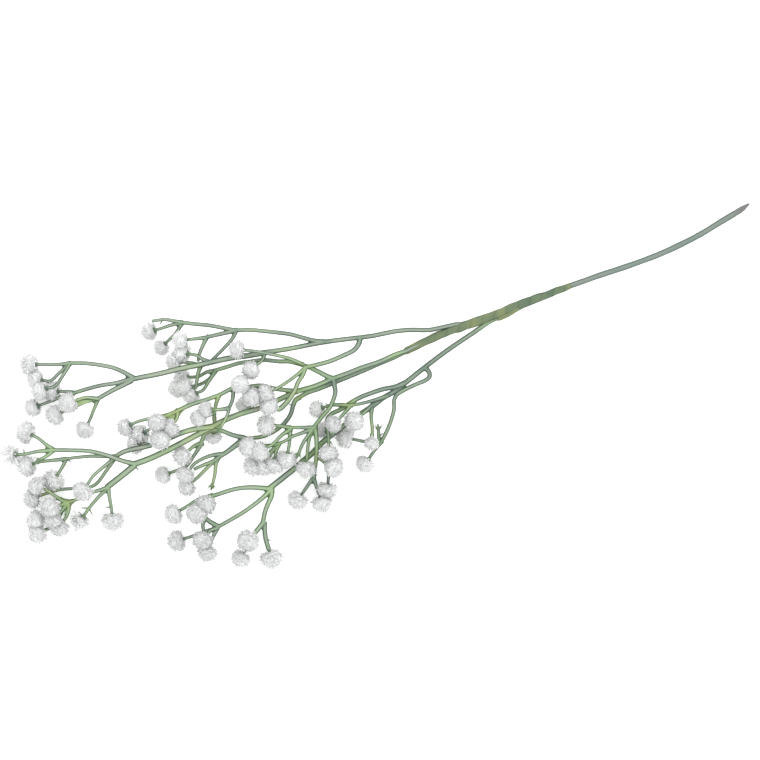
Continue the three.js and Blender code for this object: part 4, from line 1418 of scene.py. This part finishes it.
def calyx(rng, middle, direction, bare=False):
    bend_rise, tip_rise, shorter = (1.0, 2.2, 0.9) if bare else (0.2, 0.0, 1.0)
    turn = full_turn(SEPALS) + rng.uniform(-0.2, 0.2, SEPALS)
    out = np.stack([np.cos(turn), np.sin(turn), np.zeros(SEPALS)], axis=1)
    base = out * 1.2 + UP * SEPAL_HEIGHT
    bend = out * 2.5 + UP * (SEPAL_HEIGHT + bend_rise)
    reach = rng.uniform(2.9, 3.9, (SEPALS, 1)) * shorter
    tip = out * reach + UP * (rng.uniform(-5.0, -3.8, (SEPALS, 1)) + tip_rise)
    sideways = np.stack([-np.sin(turn), np.cos(turn), np.zeros(SEPALS)], axis=1)
    solids = [
        lathe(CUP, CUP_SIDES),
        blades(base, bend, tip, sideways, SEPAL_HALF_WIDTH, SEPAL_PROFILE, SEPAL_THICKNESS),
    ]
    if bare:
        solids.append(lathe(PEG, PEG_SIDES))
    vertices, faces = gather(solids)
    return stand(vertices, middle, direction, rng.uniform(0, 2 * math.pi)), faces


print("corners of a calyx:", len(calyx(np.random.default_rng(0), np.zeros(3), UP)[0]))

# %% [markdown]
# A spike stands out from every fork in a direction of its own. The longer ones that catch the eye are
# listed one by one, from their foot to their tip.

# %% Spikes
THORNS = {
    "upper_spray": [([-192, 6.5, 15.3], [-193.5, 3.2, 15]), ([-162, -5, 28], [-161, -1.5, 28])],
    "long_spray": [
        ([-257, -114.4, 12], [-266.3, -112.3, 12.5]), ([-241, -119, 10], [-247, -118.6, 11]),
        ([-241, -119, 10], [-238, -124.2, 11]), ([-226, -118.5, 7.3], [-230.5, -118, 8.5]),
        ([-284, -82.7, 11.2], [-284.5, -79, 11.5]), ([-210, -90.5, 22], [-207.2, -94, 21.5]),
        ([-255, -86, 14.3], [-252.3, -89, 14.5]), ([-80, -51.5, 28], [-83.8, -48, 28]),
    ],
    "curved_spray": [([-104.6, -50.5, 20], [-108, -49, 20])],
    "low_spray": [
        ([-123, -139, 6], [-119.2, -141, 6.5]), ([-81, -73, 20.5], [-78, -77, 21]),
        ([-47.4, -71, 8.5], [-44.2, -68.5, 8.5]),
    ],
}


def spikes(rng, places, thorns):
    """Small spikes that stand out from the forks, and the listed ones."""
    base = np.array(places)
    way = unit(rng.normal(size=(len(base), 3)) * [1, 1, 0.8])
    tip = base + way * rng.uniform(2.4, 3.6, (len(base), 1))
    base = np.vstack([base, [first for first, _ in thorns]])
    tip = np.vstack([tip, [last for _, last in thorns]])
    sideways = np.cross(tip - base, [0.3, 0.1, 0.95])
    return blades(base, (base + tip) / 2, tip, sideways, 0.55, SEPAL_PROFILE, 0.6, 0.1)


print("spikes placed by hand:", sum(len(thorns) for thorns in THORNS.values()))

# %% [markdown]
# ## Building the sprays
#
# Each spray is fused, pressed with its grooves, and trimmed with its calyxes and spikes. The
# trimmings are a little darker than the twigs they sit on.

# %% Build the four sprays
BARE_REACH = 3.2
TUBE_SIDES = 10
FIRST_SPRAY_SEED = 100
TRIM_DARKER = 0.12
TRIM_PAINTED_LIGHT = 0.4
TRIM_DUST = 0.15


def bare_seats(spray):
    """The twigs whose calyx is bare, as the seat that a head would have there."""
    seats = []
    for end in BARE_ENDS[spray["name"]]:
        path = next(path for path in spray["twigs"] if path[-1] == end)
        middle, direction = head_seat(path)
        seats.append((middle + direction * BARE_REACH, direction))
    return seats


def make_spray(spray, seed):
    rng = np.random.default_rng(seed)
    found = branches(spray)
    places = fork_places(found)
    tubes = [tube(line, radius[:, None], TUBE_SIDES) for line, radius, _ in found]
    plates = [plate(corners) for corners in PLATES[spray["name"]]]
    points, faces = fuse(tubes + webs(found, places) + plates)
    points, shades = finish_skin(points, found, places, DUST[spray["name"]])
    trimmings = [calyx(rng, *head_seat(path)) for paths in spray["flowers"].values() for path in paths]
    trimmings += [calyx(rng, *seat, bare=True) for seat in bare_seats(spray)]
    trimmings.append(spikes(rng, places, THORNS[spray["name"]]))
    trim = gather(trimmings)
    count = len(trim[0])
    # The trimmings take a little of the painted highlight and a little of the painted shade.
    trim_shades = {
        "tone": tone_at(trim[0]) - TRIM_DARKER,
        "stripe": np.full(count, TRIM_PAINTED_LIGHT),
        "dust": np.full(count, TRIM_DUST),
    }
    shades = {name: np.concatenate([shades[name], trim_shades[name]]) for name in shades}
    vertices, faces = gather([(points, faces), trim])
    piece = spray["name"].replace("spray", "branches")
    new_piece(piece, vertices, faces, GREEN, [spray["name"]], shades)
    print(piece + ":", triangles[piece], "triangles")


for number, spray in enumerate(SPRAYS):
    make_spray(spray, FIRST_SPRAY_SEED + number)

# %% [markdown]
# ## Pom-pom heads
#
# A head is moulded from soft white plastic as a bush of narrow pointed petals. They all spring
# from its base, the inner ones straight up and the outer ones in an arc, like the water of a
# fountain, and together their tips make a dome. Particles or hair could scatter petals, but
# petals made one by one as thin solids keep their own shape from every side. No two heads are
# alike: each is grown with random numbers of its own, from a fixed seed.
#
# The petals stand in rings round the twig's axis, and a closed core hides what lies behind them.

# %% Rings of petals and the core
PETAL_RINGS = [  # degrees from the axis, number of petals
    (6, 5), (20, 11), (34, 17), (48, 21), (62, 24),
    (76, 26), (90, 26), (104, 24), (118, 20), (131, 15),
]
PETAL_PROFILE = (0.3, 0.75, 1.0, 0.75)
PETAL_REACH = 7.15
PETAL_THICKNESS = 0.26
PETAL_FOOT = 3.2
PETAL_GREY = (0.30, 0.70)
HEAD_CENTRE = -1.0
CORE = [
    (0.0, -4.7), (2.6, -4.9), (4.5, -4.3), (5.7, -2.8), (6.1, -1.0), (5.9, 0.6), (5.0, 2.5), (3.5, 4.0),
    (1.7, 4.9), (0.0, 5.15),
]
CORE_SIDES = 18
# The core is less grey than the petals, as painted light in the gaps between them.
CORE_GREY = 0.2
print("petals of a head:", sum(count for _, count in PETAL_RINGS))

# %% Petals of one head
def petal_angles(rng, ragged):
    """Angles from the axis and round it for every petal. `ragged` heads have fewer, wilder ones."""
    polar, turn = [], []
    for angle, count in PETAL_RINGS:
        count = max(3, round(count * (1 - 0.55 * ragged)))
        polar += [math.radians(angle)] * count
        turn += list(full_turn(count) + rng.uniform(0, 2 * math.pi))
    polar = np.array(polar) + rng.normal(0, 0.05 + 0.12 * ragged, len(polar))
    return polar, np.array(turn) + rng.normal(0, 0.05, len(turn))


def petals(rng, ragged):
    polar, turn = petal_angles(rng, ragged)
    count = len(turn)
    around = np.stack([np.cos(turn), np.sin(turn), np.zeros(count)], axis=1)
    uneven = 1 + rng.normal(0, 0.055 + 0.1 * ragged, count)
    reach = (PETAL_REACH + 0.3 * np.cos(polar)) * uneven
    out, rise = (reach * np.sin(polar))[:, None], (reach * np.cos(polar))[:, None]
    base = around * 0.9 * np.sin(polar)[:, None] - UP * PETAL_FOOT
    tip = around * out + UP * (HEAD_CENTRE + rise)
    bend = base + (tip - base) * 0.45 + UP * (0.9 * np.sin(polar))[:, None]
    twist = rng.normal(0, 0.35, (count, 1))
    sideways = np.cross(UP, around) + (around * 0.4 + UP) * twist
    width = rng.uniform(0.68, 0.94, count) * (1 - 0.2 * ragged)
    solids = blades(base, bend, tip, sideways, width, PETAL_PROFILE, PETAL_THICKNESS)
    deep = np.tile(np.concatenate([1 - np.repeat(BLADE_AT, 4), [0.0]]), count)
    grey = np.repeat(rng.uniform(*PETAL_GREY, count), BLADE_CORNERS)
    return solids, np.stack([deep, grey])


def pom_pom(rng, ragged):
    """One head round Z with its middle at the origin, and how deep and how grey each point is."""
    bush, shades = petals(rng, ragged)
    core, core_faces = lathe(CORE, CORE_SIDES)
    vertices, faces = gather([bush, (core * (1 - 0.35 * ragged), core_faces)])
    core_shades = np.stack([np.ones(len(core)), np.full(len(core), CORE_GREY)])
    return vertices, faces, np.hstack([shades, core_shades])


print("corners of a head:", len(pom_pom(np.random.default_rng(0), 0.0)[0]))

# %% [markdown]
# The heads differ. Most are near the usual size, and these have sizes of their own. A few came out of the
# mould ragged, and some are greyer than most (over 0). Others (under 0) are painted whiter, as painted
# light that lifts heads lying in the shade of others. One head has two strands that hang out of it like
# loose threads, given by where each starts and ends.

# %% How the heads differ
HEAD_SHAPE = np.array([1.01, 1.01, 0.90])  # a little flatter than a ball, along the twig
USUAL_SIZE = (0.96, 1.05)
USUAL_RAGGED = (0, 0.12)
RAGGED = {"flower_22": 0.9, "flower_29": 0.8, "flower_52": 0.12, "flower_38": 0.35, "flower_53": 0.3}
SIZES = {
    "flower_01": 1.1, "flower_03": 0.9, "flower_07": 0.92, "flower_08": 0.9, "flower_09": 0.82,
    "flower_cluster_11": 0.95, "flower_14": 0.9, "flower_15": 0.9, "flower_cluster_16": 0.84,
    "flower_17": 0.84, "flower_20": 0.92, "flower_21": 1.1, "flower_22": 1.15, "flower_23": 1.06,
    "flower_24": 1.12, "flower_25": 1.08, "flower_30": 1.18, "flower_cluster_33": 1.05,
    "flower_34": 1.05, "flower_cluster_35": 1.08, "flower_39": 0.9, "flower_cluster_40": 0.94,
    "flower_41": 0.89, "flower_42": 0.86, "flower_44": 1.1, "flower_45": 0.96, "flower_48": 1.08,
    "flower_50": 1.12, "flower_52": 1.16, "flower_53": 0.7, "flower_54": 0.84,
}
# Over 0 a head is greyer; under 0 it is painted whiter, as painted light that lifts a head lying in the
# shade of others.
GREYNESS_AND_PAINTED_LIGHT = {
    "flower_42": 0.65, "flower_cluster_49": 0.5, "flower_48": 0.6, "flower_cluster_27": 0.4,
    "flower_cluster_13": 0.4, "flower_cluster_26": 0.4, "flower_cluster_18": 0.4,
    "flower_cluster_37": 0.35, "flower_52": 0.3, "flower_12": 0.3, "flower_cluster_46": 0.35,
    "flower_cluster_16": 0.2, "flower_04": 0.25, "flower_50": 0.25, "flower_51": 0.25,
    "flower_cluster_35": 0.2, "flower_20": 0.2, "flower_08": 0.2, "flower_01": 0.2, "flower_25": 0.2,
    "flower_15": -0.5, "flower_54": -0.5, "flower_44": -0.5, "flower_17": -0.5,
    "flower_cluster_11": -0.4, "flower_31": -0.3, "flower_cluster_10": -0.2, "flower_cluster_19": -0.3,
    "flower_cluster_33": -0.2, "flower_24": -0.3, "flower_41": -0.3, "flower_06": -0.3,
    "flower_22": -0.3, "flower_29": -0.2, "flower_cluster_32": -0.2, "flower_38": -0.2,
}
STRANDS = {
    "flower_cluster_37": [([-79, -83, 24], [-65.3, -82.2, 21]), ([-79, -84, 24], [-71, -87.5, 22])],
}
print("heads with a size of their own:", len(SIZES))

# %% Grow all heads
FIRST_HEAD_SEED = 1000
STRAND_RISE = 1.2
STRAND_PROFILE = (0.8, 1.0, 0.8, 0.6)
STRAND_SHADE = 0.4


def strand(base, tip):
    """One thin loose petal, and shades for its vertices."""
    base, tip = np.array([base], float), np.array([tip], float)
    sideways = np.cross(tip - base, UP)
    bend = (base + tip) / 2 + UP * STRAND_RISE
    vertices, faces = blades(base, bend, tip, sideways, 0.42, STRAND_PROFILE, 0.3)
    return (vertices, faces), np.full((2, len(vertices)), STRAND_SHADE)


def head(rng, name, path):
    """One head on its twig, and the shades for its vertices."""
    middle, direction = head_seat(path)
    vertices, faces, shades = pom_pom(rng, RAGGED.get(name, rng.uniform(*USUAL_RAGGED)))
    size = SIZES.get(name, rng.uniform(*USUAL_SIZE))
    # Greyer heads, and whiter ones as painted light for heads lying in shade.
    shades[1] = np.clip(shades[1] + GREYNESS_AND_PAINTED_LIGHT.get(name, 0.0), 0, 1)
    roll = rng.uniform(0, 2 * math.pi)
    return (stand(vertices * size * HEAD_SHAPE, middle, direction, roll), faces), shades


def make_heads(name, paths, rng):
    grown = [strand(*ends) for ends in STRANDS.get(name, [])]
    grown += [head(rng, name, path) for path in paths]
    vertices, faces = gather([solid for solid, _ in grown])
    deep, grey = np.hstack([shades for _, shades in grown])
    piece = name.replace("flower_cluster", "pompoms").replace("flower", "pompom")
    new_piece(piece, vertices, faces, WHITE, [name], {"deep": deep, "grey": grey})


heads = {}
for spray in SPRAYS:
    for name, paths in spray["flowers"].items():
        heads.setdefault(name, []).extend(paths)
for number, (name, paths) in enumerate(heads.items()):
    make_heads(name, paths, np.random.default_rng(FIRST_HEAD_SEED + number))
print("pieces with heads:", len(heads))
print("all triangles:", sum(triangles.values()), "most in one piece:", max(triangles.values()))

# %% [markdown]
# ## Table
#
# The stem lies on a plain white table. It glows a little, like a white sheet lit from below,
# which washes out the shadows.

# %% Table
TABLE_HALF = 8.0
TABLE_GLOW = 0.32


def make_table():
    mesh = bpy.data.meshes.new("table")
    corners = [(x * TABLE_HALF, y * TABLE_HALF, 0) for x, y in ((-1, -1), (1, -1), (1, 1), (-1, 1))]
    mesh.from_pydata(corners, [], [(0, 1, 2, 3)])
    table = bpy.data.objects.new("table", mesh)
    bpy.context.scene.collection.objects.link(table)
    finish = Finish("white_table")
    mist = finish.spread(finish.noise(4.0), 0.0, 1.0, 0.965, 0.985)
    finish.set(Base_Color=finish.add("CombineColor", Red=mist, Green=mist, Blue=mist))
    finish.set(Roughness=0.9, Specular_IOR_Level=0.1)
    finish.set(Emission_Color=(1, 1, 1, 1), Emission_Strength=TABLE_GLOW)
    mesh.materials.append(finish.material)
    table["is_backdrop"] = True


make_table()
print("table in m:", 2 * TABLE_HALF)

# %% [markdown]
# ## Light
#
# Soft light comes from everywhere, as inside a light tent, and a large weak lamp on one side gives
# the heads a little shape.

# %% Light
TENT_LIGHT = 1.38
LAMP_SIZE = 1.6
LAMP_POWER = 10.0
LAMP_PLACE = Vector((0.9, 0.7, 1.8))


def make_light():
    world = bpy.data.worlds.new("light_tent")
    world.use_nodes = True
    background = world.node_tree.nodes["Background"]
    background.inputs["Color"].default_value = (1, 1, 1, 1)
    background.inputs["Strength"].default_value = TENT_LIGHT
    bpy.context.scene.world = world
    lamp_data = bpy.data.lights.new("soft_lamp", "AREA")
    lamp_data.shape = "DISK"
    lamp_data.size = LAMP_SIZE
    lamp_data.energy = LAMP_POWER
    lamp = bpy.data.objects.new("soft_lamp", lamp_data)
    lamp.location = LAMP_PLACE
    lamp.rotation_euler = (-LAMP_PLACE).to_track_quat("-Z", "Y").to_euler()
    bpy.context.scene.collection.objects.link(lamp)
    bpy.context.scene.view_settings.view_transform = "Standard"


make_light()
print("lamp in W:", LAMP_POWER)

# %% [markdown]
# ## How large it came out
#
# Petals and sepals may reach a little past the plain solids that they stand for. How far the finished
# pieces reach past the box of the plain solids is printed for each side.

# %% Sizes
visual_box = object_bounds()
for axis, low, high in zip("XYZ", cad_box[0] - visual_box[0], visual_box[1] - cad_box[1], strict=True):
    print(axis, "grows by mm:", round(1000 * low, 2), round(1000 * high, 2))
